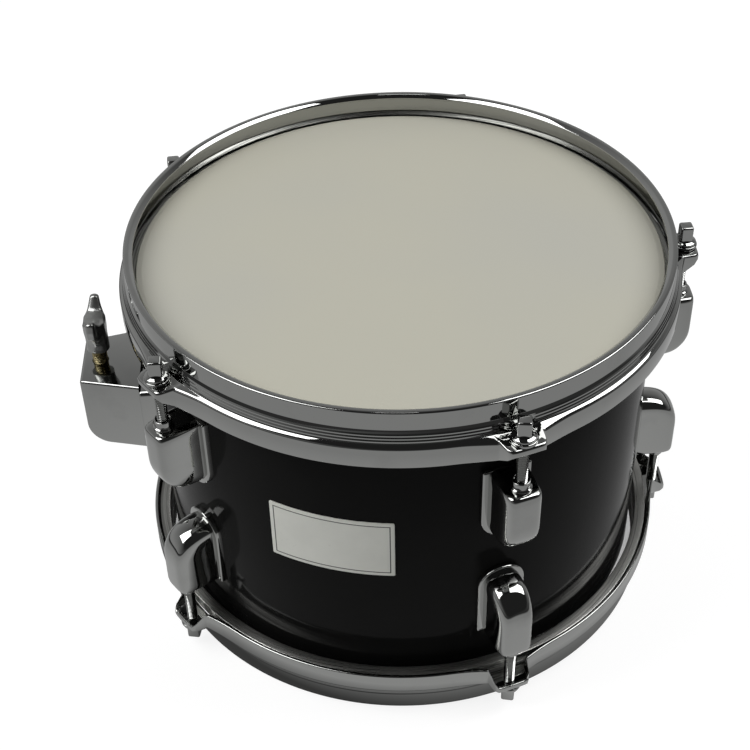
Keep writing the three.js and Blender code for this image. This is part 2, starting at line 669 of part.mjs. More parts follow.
function bracketFootGeometry() {
  const plate = outward(
    roundedRectangle(BRACKET_FOOT_HALF_WIDTH, BRACKET_FOOT_HEIGHT / 2, BRACKET_FOOT_CORNER),
    BRACKET_ROOT - BRACKET_FOOT_REACH,
    BRACKET_ROOT + BRACKET_FOOT_REACH,
  );
  return cut(
    plate,
    shellSkin(BRACKET_ROOT, BRACKET_HEIGHT),
    socketCutter(0, BRACKET_NOSE),
    ...bracketScrewHoles(0, BRACKET_ROOT + BRACKET_SCREW_GRIP + PART_GAP),
  );
}

function bracketHousingGeometry() {
  const low = -BRACKET_TOP;
  const side = sideways([
    [BRACKET_HOUSING_ROOT, low],
    ...arc(
      BRACKET_NOSE - BRACKET_CORNER,
      low + BRACKET_CORNER,
      BRACKET_CORNER,
      BRACKET_CORNER,
      -0.25,
      0,
      CORNER_STEPS,
    ),
    ...arc(
      BRACKET_NOSE - BRACKET_TOP_CORNER, BRACKET_TOP - BRACKET_TOP_CORNER,
      BRACKET_TOP_CORNER, BRACKET_TOP_CORNER, 0, 0.25, CORNER_STEPS,
    ),
    [BRACKET_HOUSING_ROOT, BRACKET_TOP],
  ], BRACKET_ROOT_HALF_WIDTH + CUT_OVERRUN);
  const plan = raised([
    [BRACKET_HOUSING_ROOT, -BRACKET_ROOT_HALF_WIDTH],
    [BRACKET_NOSE, -BRACKET_NOSE_HALF_WIDTH],
    [BRACKET_NOSE, BRACKET_NOSE_HALF_WIDTH],
    [BRACKET_HOUSING_ROOT, BRACKET_ROOT_HALF_WIDTH],
  ], low, BRACKET_TOP);
  const pocket = new THREE.BoxGeometry(
    CLAMP_LENGTH + 2 * PART_GAP,
    CLAMP_WIDTH + 2 * PART_GAP,
    CLAMP_TOP + PART_GAP + SOCKET_DROP,
  ).translate(CLAMP_X, 0, (CLAMP_TOP + PART_GAP - SOCKET_DROP) / 2);
  const boltHole = disc(BOLT_RADIUS + NUT_BORE_CLEARANCE, 0, BRACKET_TOP + CUT_OVERRUN, HOLE_STEPS)
    .translate(CLAMP_X, 0, 0);
  return cut(common(side, plan), socketCutter(0, BRACKET_NOSE + CUT_OVERRUN), pocket, boltHole);
}

// Clamp block: hollowed below to the curve of the tube, with a blind seat above for the bolt's tip
function clampGeometry() {
  const block = new THREE.BoxGeometry(CLAMP_LENGTH, CLAMP_WIDTH, CLAMP_HEIGHT)
    .translate(CLAMP_X, 0, CLAMP_BOTTOM + CLAMP_HEIGHT / 2);
  const tube = radialRod(SOCKET_RADIUS + CLAMP_TUBE_CLEARANCE, 0, BRACKET_NOSE, 2 * HOLE_STEPS)
    .translate(0, 0, -SOCKET_DROP);
  const seatFloor = CLAMP_TOP - CLAMP_BOLT_SEAT_DEPTH;
  const seat = disc(BOLT_TIP_RADIUS + PART_GAP, seatFloor, CLAMP_TOP + CUT_OVERRUN, HOLE_STEPS)
    .translate(CLAMP_X, 0, 0);
  return cut(block, tube, seat);
}

// Wing bolt: a threaded shank whose tip sits in the clamp block, a hub and two wings, with its foot at z = 0
function wingBoltGeometry() {
  const tip = CLAMP_TOP - CLAMP_BOLT_SEAT_DEPTH + PART_GAP - BRACKET_TOP - BOLT_STAND_OUT;
  const neck = CLAMP_TOP + PART_GAP - BRACKET_TOP - BOLT_STAND_OUT;
  const shank = turned([
    [0, tip],
    [BOLT_TIP_RADIUS, tip],
    [BOLT_TIP_RADIUS, neck],
    [BOLT_RADIUS, neck],
    [BOLT_RADIUS, 0],
    [WING_HUB_RADIUS, 0],
    [WING_HUB_RADIUS, WING_HUB_HEIGHT / 2],
    [WING_HUB_TOP_RADIUS, WING_HUB_HEIGHT],
    [0, WING_HUB_HEIGHT],
  ], HOLE_STEPS);
  const tipX = WING_SPAN / 2;
  const lobe = WING_LOBE_HEIGHT / 2;
  const lobeX = tipX - lobe / 2;
  const lobeZ = WING_HEIGHT - lobe;
  const wings = [-1, 1].map((side) => {
    const outline = [
      [0, WING_ROOT_HEIGHT],
      [WING_HUB_RADIUS, WING_ROOT_HEIGHT],
      ...arc(lobeX, lobeZ, lobe / 2, lobe, -0.125, 0.375, 2 * CORNER_STEPS),
      [0, WING_HEIGHT - WING_NOTCH_DEPTH],
    ];
    const blade = sideways(outline, WING_THICKNESS / 2);
    return side > 0 ? blade : blade.rotateZ(Math.PI);
  });
  return join(shank, ...wings);
}

function bracketScrewGeometry() {
  const headSag = SHELL_INNER_RADIUS
    - Math.sqrt(SHELL_INNER_RADIUS ** 2 - (BRACKET_SCREW_SPREAD / 2 + BRACKET_SCREW_HEAD_RADIUS) ** 2);
  const plateInner = SHELL_INNER_RADIUS - PART_GAP - BACKING_PLATE_THICKNESS;
  const seat = plateInner - headSag - PART_GAP;
  return turned([
    [0, seat - BRACKET_SCREW_HEAD_HEIGHT],
    [BRACKET_SCREW_HEAD_RADIUS, seat - BRACKET_SCREW_HEAD_HEIGHT],
    [BRACKET_SCREW_HEAD_RADIUS, seat],
    [BRACKET_SCREW_RADIUS, seat],
    [BRACKET_SCREW_RADIUS, BRACKET_ROOT + BRACKET_SCREW_GRIP],
    [0, BRACKET_ROOT + BRACKET_SCREW_GRIP],
  ], SHAFT_STEPS).rotateY(QUARTER_TURN);
}

function backingPlateGeometry() {
  const outerRadius = SHELL_INNER_RADIUS - PART_GAP;
  const plate = outward(
    roundedRectangle(BACKING_PLATE_WIDTH / 2, BACKING_PLATE_HEIGHT / 2, BRACKET_FOOT_CORNER),
    0,
    SHELL_RADIUS,
  );
  return cut(
    common(plate, shellSkin(outerRadius, BRACKET_HEIGHT)),
    shellSkin(outerRadius - BACKING_PLATE_THICKNESS, BRACKET_HEIGHT),
    ...bracketScrewHoles(0, SHELL_RADIUS),
  );
}

function buildBracket() {
  const at = spoke(aboutAxis, BRACKET_AZIMUTH, BRACKET_CENTRE_HEIGHT);
  place(at, 'bracket_foot', bracketFootGeometry(), chrome());
  place(at, 'bracket_housing', bracketHousingGeometry(), chrome());
  place(at, 'clamp_block', clampGeometry(), plainSteel());
  place(at, 'bracket_backing_plate', backingPlateGeometry(), plainSteel());
  const wingBolt = place(at, 'wing_bolt', wingBoltGeometry(), zincYellow());
  wingBolt.position.set(CLAMP_X, 0, BRACKET_TOP + BOLT_STAND_OUT);
  wingBolt.rotation.z = QUARTER_TURN;
  bracketScrewSites().forEach(([y, z], i) => {
    place(at, `bracket_screw_${i + 1}`, bracketScrewGeometry(), plainSteel()).position.set(0, y, z);
  });
}

place(aboutAxis, 'shell', shellGeometry(), blackLacquer());
place(spoke(aboutAxis, BADGE_AZIMUTH, BADGE_CENTRE_HEIGHT), 'badge', badgeGeometry(), badgePlate());
place(spoke(aboutAxis, VENT_AZIMUTH, VENT_HEIGHT), 'vent_eyelet', ventGeometry(), chrome());

buildEnd('batter', coatedFilm()).position.z = DRUM_HEIGHT;
buildEnd('resonant', clearFilm()).rotation.x = Math.PI;
buildBracket();

export default drum;
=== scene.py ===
"""Looks of a ten-inch tom-tom drum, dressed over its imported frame.

Sizes are in millimetres in the drum's own frame: its axis is Z, the plane under the lower hoop is z = 0 and
azimuths run counter-clockwise from +X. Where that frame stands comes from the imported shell.
"""

import logging
import math
from abc import ABC, abstractmethod
from dataclasses import dataclass
from enum import Enum
from typing import Any, Callable, Iterable, Optional, Sequence

import bmesh
import bpy
from mathutils import Matrix, Vector


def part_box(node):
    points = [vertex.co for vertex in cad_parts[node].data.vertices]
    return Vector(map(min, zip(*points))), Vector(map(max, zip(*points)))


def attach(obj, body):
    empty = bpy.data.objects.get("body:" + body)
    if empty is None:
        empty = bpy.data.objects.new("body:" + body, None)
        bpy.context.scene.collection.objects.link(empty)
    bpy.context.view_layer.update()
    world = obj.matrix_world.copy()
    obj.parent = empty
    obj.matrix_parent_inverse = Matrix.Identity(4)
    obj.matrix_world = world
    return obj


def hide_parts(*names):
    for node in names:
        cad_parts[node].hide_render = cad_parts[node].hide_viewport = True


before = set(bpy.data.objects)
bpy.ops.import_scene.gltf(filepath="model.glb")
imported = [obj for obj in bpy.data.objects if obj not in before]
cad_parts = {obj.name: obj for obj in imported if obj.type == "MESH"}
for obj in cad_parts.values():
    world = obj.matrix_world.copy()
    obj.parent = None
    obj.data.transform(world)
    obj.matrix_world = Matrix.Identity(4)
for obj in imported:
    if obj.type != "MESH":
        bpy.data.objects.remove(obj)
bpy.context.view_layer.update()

Point = tuple[float, float]
Corner = tuple[float, float, float]
Colour = tuple[float, float, float]
Patches = tuple[float, ...]
EdgeTest = Callable[[bmesh.types.BMEdge], bool]

METRES = 0.001
CLOSE = 0.001
FARTHEST_ROUNDING = 0.49
OUTWARD = Matrix.Rotation(math.pi / 2, 4, "Y")
LOG = logging.getLogger("tom")


# ---- outlines ----


def rounded_path(corners: Sequence[Corner], closed: bool = True, steps: int = 5) -> list[Point]:
    """Rounds the corners of an outline.

    Args:
        corners: The corners as (x, y, radius); a radius of 0 keeps the corner sharp.
        closed: Whether the last corner joins the first.
        steps: The number of chords in each rounding.

    Returns:
        The points of the rounded outline.
    """
    points: list[Point] = []
    count = len(corners)
    for i, (x, y, radius) in enumerate(corners):
        here = Vector((x, y))
        if radius == 0 or (not closed and i in (0, count - 1)):
            points.append((x, y))
            continue
        before = Vector(corners[i - 1][:2]) - here
        after = Vector(corners[(i + 1) % count][:2]) - here
        half = before.angle(after) / 2
        longest = FARTHEST_ROUNDING * min(before.length, after.length)
        reach = min(radius / math.tan(half), longest)
        inward = before.normalized() + after.normalized()
        centre = here + inward.normalized() * (reach / math.cos(half))
        first = here + before.normalized() * reach - centre
        last = here + after.normalized() * reach - centre
        turn = math.pi - 2 * half
        for step in range(steps + 1):
            share = step / steps
            spoke = (math.sin((1 - share) * turn) * first + math.sin(share * turn) * last) / math.sin(turn)
            points.append(tuple(centre + spoke))
    return points


def rectangle(half_x: float, half_y: float, corner: float, middle: float = 0, steps: int = 5) -> list[Point]:
    """A rectangle with rounded corners."""
    signs = ((-1, -1), (1, -1), (1, 1), (-1, 1))
    return rounded_path([(middle + x * half_x, y * half_y, corner) for x, y in signs], steps=steps)


def smooth_share(value: float) -> float:
    """A share from 0 to 1 that starts and ends without a kink."""
    held = min(1.0, max(0.0, value))
    return held * held * (3 - 2 * held)


def on_level(height: float) -> EdgeTest:
    """A test for edges that lie at a height."""
    return lambda edge: all(abs(vert.co.z - height) < CLOSE for vert in edge.verts)


# ---- forms: meshes while they are shaped ----


class Form:
    """A mesh while it is shaped, in millimetres."""

    def __init__(self, mesh: Optional[bmesh.types.BMesh] = None) -> None:
        """Starts empty, or from a mesh."""
        self.mesh = mesh or bmesh.new()

    @classmethod
    def turned(cls, profile: Sequence[Point], steps: int, closed: bool = True) -> "Form":
        """A shape turned about Z.

        Args:
            profile: The section as (radius, z) points.
            steps: The number of steps in the full turn.
            closed: Whether the section's last point joins its first.

        Returns:
            The turned form.
        """
        form = cls()
        verts = [form.mesh.verts.new((radius, 0, z)) for radius, z in profile]
        ends = verts[1:] + verts[:1] if closed else verts[1:]
        edges = [form.mesh.edges.new(pair) for pair in zip(verts, ends)]
        bmesh.ops.spin(
            form.mesh,
            geom=[*verts, *edges],
            cent=(0, 0, 0),
            axis=(0, 0, 1),
            angle=math.tau,
            steps=steps,
            use_merge=True,
        )
        return form.closed_up()

    @classmethod
    def bar(cls, radius: float, low: float, high: float, steps: int) -> "Form":
        """A round bar along Z."""
        return cls.turned([(0, low), (radius, low), (radius, high), (0, high)], steps, closed=False)

    @classmethod
    def prism(cls, outline: Sequence[Point], low: float, high: float) -> "Form":
        """A flat outline in X and Y raised along Z.

        Args:
            outline: The outline's points.
            low: The height that it starts at.
            high: The height that it ends at.

        Returns:
            The raised form.
        """
        form = cls()
        base = form.mesh.faces.new([form.mesh.verts.new((x, y, low)) for x, y in outline])
        raised = bmesh.ops.extrude_face_region(form.mesh, geom=[base])["geom"]
        moved = [item for item in raised if isinstance(item, bmesh.types.BMVert)]
        bmesh.ops.translate(form.mesh, vec=(0, 0, high - low), verts=moved)
        return form.closed_up()

    @classmethod
    def thread(cls, radius: float, depth: float, pitch: float, low: float, high: float) -> "Form":
        """A screw thread round Z, cut flat and closed at both ends.

        Args:
            radius: The radius over the crests.
            depth: The depth from crest to root.
            pitch: The rise of one turn.
            low: The height of the lower end.
            high: The height of the upper end.

        Returns:
            The threaded rod.
        """
        form = cls()
        turns = math.ceil((high - low) / pitch) + 2
        steps = 20
        section = [(0, 0), (0.36, 0), (0.62, 1), (0.74, 1), (1, 0)]
        places = [(radius - depth * (1 - out), 0, low - pitch + pitch * up) for up, out in section]
        verts = [form.mesh.verts.new(place) for place in places]
        edges = [form.mesh.edges.new(pair) for pair in zip(verts, verts[1:])]
        bmesh.ops.spin(
            form.mesh,
            geom=[*verts, *edges],
            cent=(0, 0, 0),
            axis=(0, 0, 1),
            dvec=(0, 0, pitch / steps),
            angle=math.tau * turns,
            steps=steps * turns,
        )
        form.closed_up()
        form.cut((0, 0, low), (0, 0, -1), closing=True)
        form.cut((0, 0, high), (0, 0, 1), closing=True)
        return form.closed_up()

    def cut(self, place: Sequence[float], way: Sequence[float], closing: bool = False) -> "Form":
        """Divides the form's faces along a plane.

        Args:
            place: A point of the plane.
            way: The plane's direction.
            closing: Whether what lies beyond goes and the opening is closed.

        Returns:
            The form itself.
        """
        found = self.mesh.verts[:] + self.mesh.edges[:] + self.mesh.faces[:]
        cut = bmesh.ops.bisect_plane(
            self.mesh, geom=found, plane_co=place, plane_no=way, clear_outer=closing
        )["geom_cut"]
        if closing:
            edges = [item for item in cut if isinstance(item, bmesh.types.BMEdge)]
            bmesh.ops.edgeloop_fill(self.mesh, edges=edges)
        return self

    def closed_up(self) -> "Form":
        """Merges doubles and turns the faces outwards."""
        bmesh.ops.remove_doubles(self.mesh, verts=self.mesh.verts[:], dist=1e-4)
        bmesh.ops.recalc_face_normals(self.mesh, faces=self.mesh.faces[:])
        return self

    def copy(self) -> "Form":
        """A form of its own with the same shape."""
        return Form(self.mesh.copy())

    def moved(self, place: Matrix) -> "Form":
        """Moves the form."""
        bmesh.ops.transform(self.mesh, matrix=place, verts=self.mesh.verts[:])
        return self

    def reshaped(self, shaping: Callable[[Vector], Vector]) -> "Form":
        """Moves each point of the form by a rule.

        Args:
            shaping: Gives a point's new place from its old one.

        Returns:
            The form itself.
        """
        for vert in self.mesh.verts:
            vert.co = shaping(vert.co)
        return self

    def bevelled(self, width: float, segments: int, chosen: EdgeTest, held: bool = True) -> "Form":
        """Rounds some of the form's edges.

        Args:
            width: The width of the rounding.
            segments: The number of strips in it.
            chosen: Tells whether an edge is rounded.
            held: Whether the width shrinks where two roundings would meet.

        Returns:
            The form itself.
        """
        bmesh.ops.bevel(
            self.mesh,
            geom=[edge for edge in self.mesh.edges if chosen(edge)],
            offset=width,
            offset_type="OFFSET",
            affect="EDGES",
            segments=segments,
            profile=0.5,
            material=-1,
            clamp_overlap=held,
        )
        return self

    def with_form(self, other: "Form") -> "Form":
        """Adds another form's faces to this one.

        Args:
            other: The form to add, which is used up.

        Returns:
            The form itself.
        """
        carrier = bpy.data.meshes.new("carrier")
        other.mesh.to_mesh(carrier)
        other.mesh.free()
        self.mesh.from_mesh(carrier)
        bpy.data.meshes.remove(carrier)
        return self

    def carved(self, *cutters: "Form") -> "Form":
        """Cuts other forms out of this one.

        Args:
            cutters: The forms to cut with, which are used up.

        Returns:
            The form itself.
        """
        base = self.set_down("carved")
        tools = [cutter.set_down("cutter") for cutter in cutters]
        for tool in tools:
            modifier = base.modifiers.new("cut", "BOOLEAN")
            modifier.operation = "DIFFERENCE"
            modifier.solver = "EXACT"
            modifier.object = tool
        result = bpy.data.meshes.new_from_object(base.evaluated_get(bpy.context.evaluated_depsgraph_get()))
        self.mesh.clear()
        self.mesh.from_mesh(result)
        bpy.data.meshes.remove(result)
        for item in (base, *tools):
            shape = item.data
            bpy.data.objects.remove(item)
            bpy.data.meshes.remove(shape)
        return self

    def set_down(self, name: str) -> bpy.types.Object:
        """Makes a passing object of the form.

        Args:
            name: The object's name.

        Returns:
            The object.
        """
        shape = bpy.data.meshes.new(name)
        self.mesh.to_mesh(shape)
        item = bpy.data.objects.new(name, shape)
        bpy.context.scene.collection.objects.link(item)
        return item

    def painted(self, chosen: Callable[[bmesh.types.BMFace], bool]) -> "Form":
        """Gives some faces the second of the piece's finishes.

        Args:
            chosen: Tells whether a face gets it.

        Returns:
            The form itself.
        """
        for face in self.mesh.faces:
            if chosen(face):
                face.material_index = 1
        return self

    def piece(self, name: str, place: Matrix, sharp: float, *finishes: "Finish") -> bpy.types.Object:
        """Sets the form down as a finished object at the origin, with its place in its mesh.

        Args:
            name: The object's name.
            place: Where it stands in the shared frame, in millimetres.
            sharp: The angle in degrees from which an edge shows as sharp.
            finishes: The finishes of its faces.

        Returns:
            The object.
        """
        bmesh.ops.transform(self.mesh, matrix=Matrix.Scale(METRES, 4) @ place, verts=self.mesh.verts[:])
        limit = math.radians(sharp)
        for face in self.mesh.faces:
            face.smooth = True
        for edge in self.mesh.edges:
            edge.smooth = edge.is_manifold and edge.calc_face_angle(0) < limit
        made = self.set_down(name)
        self.mesh.free()
        for finish in finishes:
            made.data.materials.append(finish.material())
        return made


# ---- shader nodes ----


class Value:
    """A number socket that can be used in sums."""

    def __init__(self, paint: "Paint", socket: bpy.types.NodeSocket) -> None:
        """Wraps a socket."""
        self.paint = paint
        self.socket = socket

    def _sum(self, operation: str, first: Any, second: Any) -> "Value":
        """Adds a Math node."""
        made = self.paint.node("ShaderNodeMath", {0: first, 1: second}, operation=operation)
        return Value(self.paint, made.outputs[0])

    def __add__(self, other: Any) -> "Value":
        """This plus other."""
        return self._sum("ADD", self, other)

    def __radd__(self, other: Any) -> "Value":
        """Other plus this."""
        return self._sum("ADD", other, self)

    def __sub__(self, other: Any) -> "Value":
        """This less other."""
        return self._sum("SUBTRACT", self, other)

    def __rsub__(self, other: Any) -> "Value":
        """Other less this."""
        return self._sum("SUBTRACT", other, self)

    def __mul__(self, other: Any) -> "Value":
        """This times other."""
        return self._sum("MULTIPLY", self, other)

    def __rmul__(self, other: Any) -> "Value":
        """Other times this."""
        return self._sum("MULTIPLY", other, self)


class Paint:
    """The nodes of one material or of the world."""

    def __init__(self, owner: Any) -> None:
        """Starts without a node.

        Args:
            owner: The new material or world.
        """
        owner.use_nodes = True
        self.owner = owner
        self.tree = owner.node_tree
        self.tree.nodes.clear()

    def node(self, kind: str, inputs: Optional[dict[Any, Any]] = None, **settings: Any) -> bpy.types.Node:
        """Adds a node.

        Args:
            kind: The node's type.
            inputs: A value, a socket or a Value for each of its sockets.
            settings: Its settings, which are set first.

        Returns:
            The node.
        """
        made = self.tree.nodes.new(kind)
        for key, value in settings.items():
            setattr(made, key, value)
        for key, value in (inputs or {}).items():
            source = value.socket if isinstance(value, Value) else value
            if isinstance(source, bpy.types.NodeSocket):
                self.tree.links.new(source, made.inputs[key])
            else:
                made.inputs[key].default_value = source
        return made

    def place(self, scale: Corner = (1, 1, 1)) -> bpy.types.NodeSocket:
        """The piece's own coordinates, in metres."""
        source = self.node("ShaderNodeTexCoord").outputs["Object"]
        return self.node("ShaderNodeMapping", {"Vector": source, "Scale": scale}).outputs["Vector"]

    def off_axis(self, place: bpy.types.NodeSocket) -> Value:
        """How far a place lies from the Z axis.

        Args:
            place: The place.

        Returns:
            The distance.
        """
        flat = self.node("ShaderNodeVectorMath", {0: place, 1: (1, 1, 0)}, operation="MULTIPLY")
        length = self.node("ShaderNodeVectorMath", {0: flat.outputs["Vector"]}, operation="LENGTH")
        return Value(self, length.outputs["Value"])

    def noise(self, scale: float, detail: float, stretch: Corner = (1, 1, 1)) -> Value:
        """A noise pattern."""
        inputs = {"Vector": self.place(stretch), "Scale": scale, "Detail": detail, "Roughness": 0.55}
        return Value(self, self.node("ShaderNodeTexNoise", inputs).outputs["Fac"])

    def spread(self, value: Value, low: float, high: float, start: float, end: float) -> Value:
        """Carries a value from one range to another and holds it there."""
        inputs = {"Value": value, "From Min": start, "From Max": end, "To Min": low, "To Max": high}
        return Value(self, self.node("ShaderNodeMapRange", inputs, clamp=True).outputs["Result"])

    def patches(
        self, scale: float, detail: float, start: float = 0.35, end: float = 0.65, stretch: Corner = (1, 1, 1)
    ) -> Value:
        """Cloudy patches."""
        return self.spread(self.noise(scale, detail, stretch), 0, 1, start, end)

    def blend(self, share: Value, first: Any, second: Any) -> bpy.types.NodeSocket:
        """Blends two colours.

        Args:
            share: 0 for the first colour and 1 for the second.
            first: The first colour, or a socket.
            second: The second colour, or a socket.

        Returns:
            The colour socket.
        """
        colours = [(*colour, 1.0) if isinstance(colour, tuple) else colour for colour in (first, second)]
        made = self.node("ShaderNodeMix", {0: share, 6: colours[0], 7: colours[1]}, data_type="RGBA")
        return made.outputs[2]

    def bump(self, height: Value, distance: float) -> bpy.types.NodeSocket:
        """A relief."""
        inputs = {"Height": height, "Distance": distance, "Strength": 1.0}
        return self.node("ShaderNodeBump", inputs).outputs["Normal"]

    def surface(self, inputs: dict[str, Any]) -> bpy.types.Material:
        """Closes the material with a Principled shader.

        Args:
            inputs: Values or links for the shader's sockets.

        Returns:
            The material.
        """
        shader = self.node("ShaderNodeBsdfPrincipled", inputs)
        self.node("ShaderNodeOutputMaterial", {"Surface": shader.outputs["BSDF"]})
        return self.owner


# ---- finishes ----


class Finish(ABC):
    """A finish that becomes one material, however often it is used."""

    name: str

    def material(self) -> bpy.types.Material:
        """The finish's material."""
        own = f"{self.name}_finish"
        return bpy.data.materials.get(own) or self.mixed(Paint(bpy.data.materials.new(own)))

    @abstractmethod
    def mixed(self, paint: Paint) -> bpy.types.Material:
        """Builds the material.

        Args:
            paint: The empty material.

        Returns:
            The finished material.
        """


@dataclass(frozen=True)
class Chrome(Finish):
    """Bright chrome plate with a trace of polish haze and handling marks.

    Attributes:
        name: The material's name.
        tone: The plate's colour.
        gloss: Its roughness where it is clean.
        haze: What handling marks add to the roughness.
        ripple: The depth of the casting's waviness under the plate, in metres.
        dulling: The share of the tone that is left in a mark.
        marks: The handling marks.
        specks: The specks of dust.
        waves: The pattern of the waviness.
    """

    name: str
    tone: Colour = (0.42, 0.425, 0.415)
    gloss: float = 0.03
    haze: float = 0.07
    ripple: float = 0.0
    dulling: float = 0.86
    marks: Patches = (46, 5, 0.56, 0.74)
    specks: Patches = (900, 2, 0.68, 0.76)
    waves: Patches = (110, 1)

    def mixed(self, paint: Paint) -> bpy.types.Material:
        """Builds the material.

        Args:
            paint: The empty material.

        Returns:
            The finished material.
        """
        marks, specks = paint.patches(*self.marks), paint.patches(*self.specks)
        dulled = tuple(self.dulling * part for part in self.tone)
        inputs: dict[str, Any] = {
            "Base Color": paint.blend(marks * 0.5 + specks * 0.4, self.tone, dulled),
            "Metallic": 1.0,
            "Roughness": self.gloss + marks * self.haze + specks * 0.08,
        }
        if self.ripple:
            inputs["Normal"] = paint.bump(paint.noise(*self.waves), self.ripple)
        return paint.surface(inputs)


@dataclass(frozen=True)
class PlatedSteel(Finish):
    """Plain zinc-plated steel, clear or passivated yellow.

    Attributes:
        name: The material's name.
        tone: The plate's colour.
        stain: The colour of its cloudy patches.
        gloss: Its roughness where it is cleanest.
        clouds: The cloudy patches.
        grain: The pattern of the fine grain.
        grain_depth: The depth of the grain, in metres.
    """

    name: str
    tone: Colour = (0.30, 0.30, 0.30)
    stain: Colour = (0.20, 0.20, 0.20)
    gloss: float = 0.2
    clouds: Patches = (160, 4)
    grain: Patches = (2600, 2)
    grain_depth: float = 0.00002

    def mixed(self, paint: Paint) -> bpy.types.Material:
        """Builds the material.

        Args:
            paint: The empty material.

        Returns:
            The finished material.
        """
        clouds, grain = paint.patches(*self.clouds), paint.noise(*self.grain)
        return paint.surface(
            {
                "Base Color": paint.blend(clouds, self.tone, self.stain),
                "Metallic": 1.0,
                "Roughness": self.gloss + clouds * 0.12 + grain * 0.06,
                "Normal": paint.bump(grain, self.grain_depth),
            }
        )


@dataclass(frozen=True)
class RolledRing(Finish):
    """Bright metal rolled into a ring, with fine draw lines running round it.

    Attributes:
        name: The material's name.
        tone: The metal's colour.
        line: The colour in the draw lines.
        gloss: Its roughness between the lines.
        line_scale: The lines to a metre of the section.
        line_range: The noise at which a line begins and is full.
        line_depth: The depth of the lines, in metres.
        clouds: The cloudy patches.
    """

    name: str
    tone: Colour = (0.66, 0.66, 0.63)
    line: Colour = (0.20, 0.20, 0.19)
    gloss: float = 0.24
    line_scale: float = 1300
    line_range: tuple[float, float] = (0.42, 0.62)
    line_depth: float = 0.00004
    clouds: Patches = (26, 4)

    def mixed(self, paint: Paint) -> bpy.types.Material:
        """Builds the material.

        Args:
            paint: The empty material.

        Returns:
            The finished material.
        """
        where = paint.place()
        rise = paint.node("ShaderNodeSeparateXYZ", {"Vector": where}).outputs["Z"]
        drawn = paint.node("ShaderNodeCombineXYZ", {"X": paint.off_axis(where), "Y": rise}).outputs["Vector"]
        inputs = {"Vector": drawn, "Scale": self.line_scale, "Detail": 2}
        lines = Value(paint, paint.node("ShaderNodeTexNoise", inputs).outputs["Fac"])
        clouds = paint.patches(*self.clouds)
        streaks = paint.spread(lines, 0, 1, *self.line_range)
        return paint.surface(
            {
                "Base Color": paint.blend(streaks * 0.7 + clouds * 0.3, self.tone, self.line),
                "Metallic": 1.0,
                "Roughness": self.gloss + streaks * 0.14 + clouds * 0.08,
                "Normal": paint.bump(lines, self.line_depth),
            }
        )


@dataclass(frozen=True)
class Lacquer(Finish):
    """Black high-gloss lacquer with faint orange peel, polishing haze and dust."""

    name: str = "black_lacquer"
    tone: Colour = (0.0086, 0.0086, 0.0084)
    wear: float = 1.6
    gloss: float = 0.07
    cloud: Patches = (9, 3)
    dust: Patches = (1500, 2, 0.70, 0.76)
    peel: Patches = (420, 2)
    peel_depth: float = 0.000012

    def mixed(self, paint: Paint) -> bpy.types.Material:
        """Builds the material.

        Args:
            paint: The empty material.

        Returns:
            The finished material.
        """
        cloud, dust = paint.patches(*self.cloud), paint.patches(*self.dust)
        worn = tuple(part * self.wear for part in self.tone)
        return paint.surface(
            {
                "Base Color": paint.blend(cloud * 0.7 + dust * 0.3, self.tone, worn),
                "Roughness": self.gloss + cloud * 0.03 + dust * 0.15,
                "Specular IOR Level": 0.035,
                "Normal": paint.bump(paint.noise(*self.peel), self.peel_depth),
            }
        )


@dataclass(frozen=True)
class ShellWood(Finish):
    """Pale hardwood ply inside the shell, with its grain running round."""

    name: str = "shell_wood"
    pale: Colour = (0.50, 0.33, 0.18)
    dark: Colour = (0.36, 0.22, 0.11)
    pore: Colour = (0.22, 0.13, 0.06)
    fibre: Patches = (70, 5)
    fibre_stretch: Corner = (0.5, 0.5, 9)
    fibre_range: tuple[float, float] = (0.35, 0.65)
    fibre_depth: float = 0.0001
    pores: Patches = (260, 3, 0.55, 0.7)
    pore_stretch: Corner = (0.4, 0.4, 8)
    clouds: Patches = (12, 2)

    def mixed(self, paint: Paint) -> bpy.types.Material:
        """Builds the material.

        Args:
            paint: The empty material.

        Returns:
            The finished material.
        """
        fibre = paint.noise(*self.fibre, self.fibre_stretch)
        pores = paint.patches(*self.pores, self.pore_stretch)
        wood = paint.blend(paint.spread(fibre, 0, 1, *self.fibre_range), self.pale, self.dark)
        return paint.surface(
            {
                "Base Color": paint.blend(pores * 0.5 + paint.patches(*self.clouds) * 0.15, wood, self.pore),
                "Roughness": 0.55 + pores * 0.2,
                "Normal": paint.bump(fibre, self.fibre_depth),
            }
        )


@dataclass(frozen=True)
class CoatedFilm(Finish):
    """White polyester film with a fine sprayed coating, faintly scuffed."""

    name: str = "coated_film"
    tone: Colour = (0.455, 0.445, 0.375)
    cool: Colour = (0.435, 0.43, 0.38)
    gloss: float = 0.46
    clouds: Patches = (7, 2)
    scuffs: Patches = (240, 4, 0.62, 0.78)
    grain: Patches = (1900, 2)
    grain_depth: float = 0.00003

    def mixed(self, paint: Paint) -> bpy.types.Material:
        """Builds the material.

        Args:
            paint: The empty material.

        Returns:
            The finished material.
        """
        grain = paint.noise(*self.grain)
        return paint.surface(
            {
                "Base Color": paint.blend(paint.patches(*self.clouds), self.tone, self.cool),
                "Roughness": self.gloss + grain * 0.1 - paint.patches(*self.scuffs) * 0.1,
                "Specular IOR Level": 0.35,
                "Normal": paint.bump(grain, self.grain_depth),
            }
        )


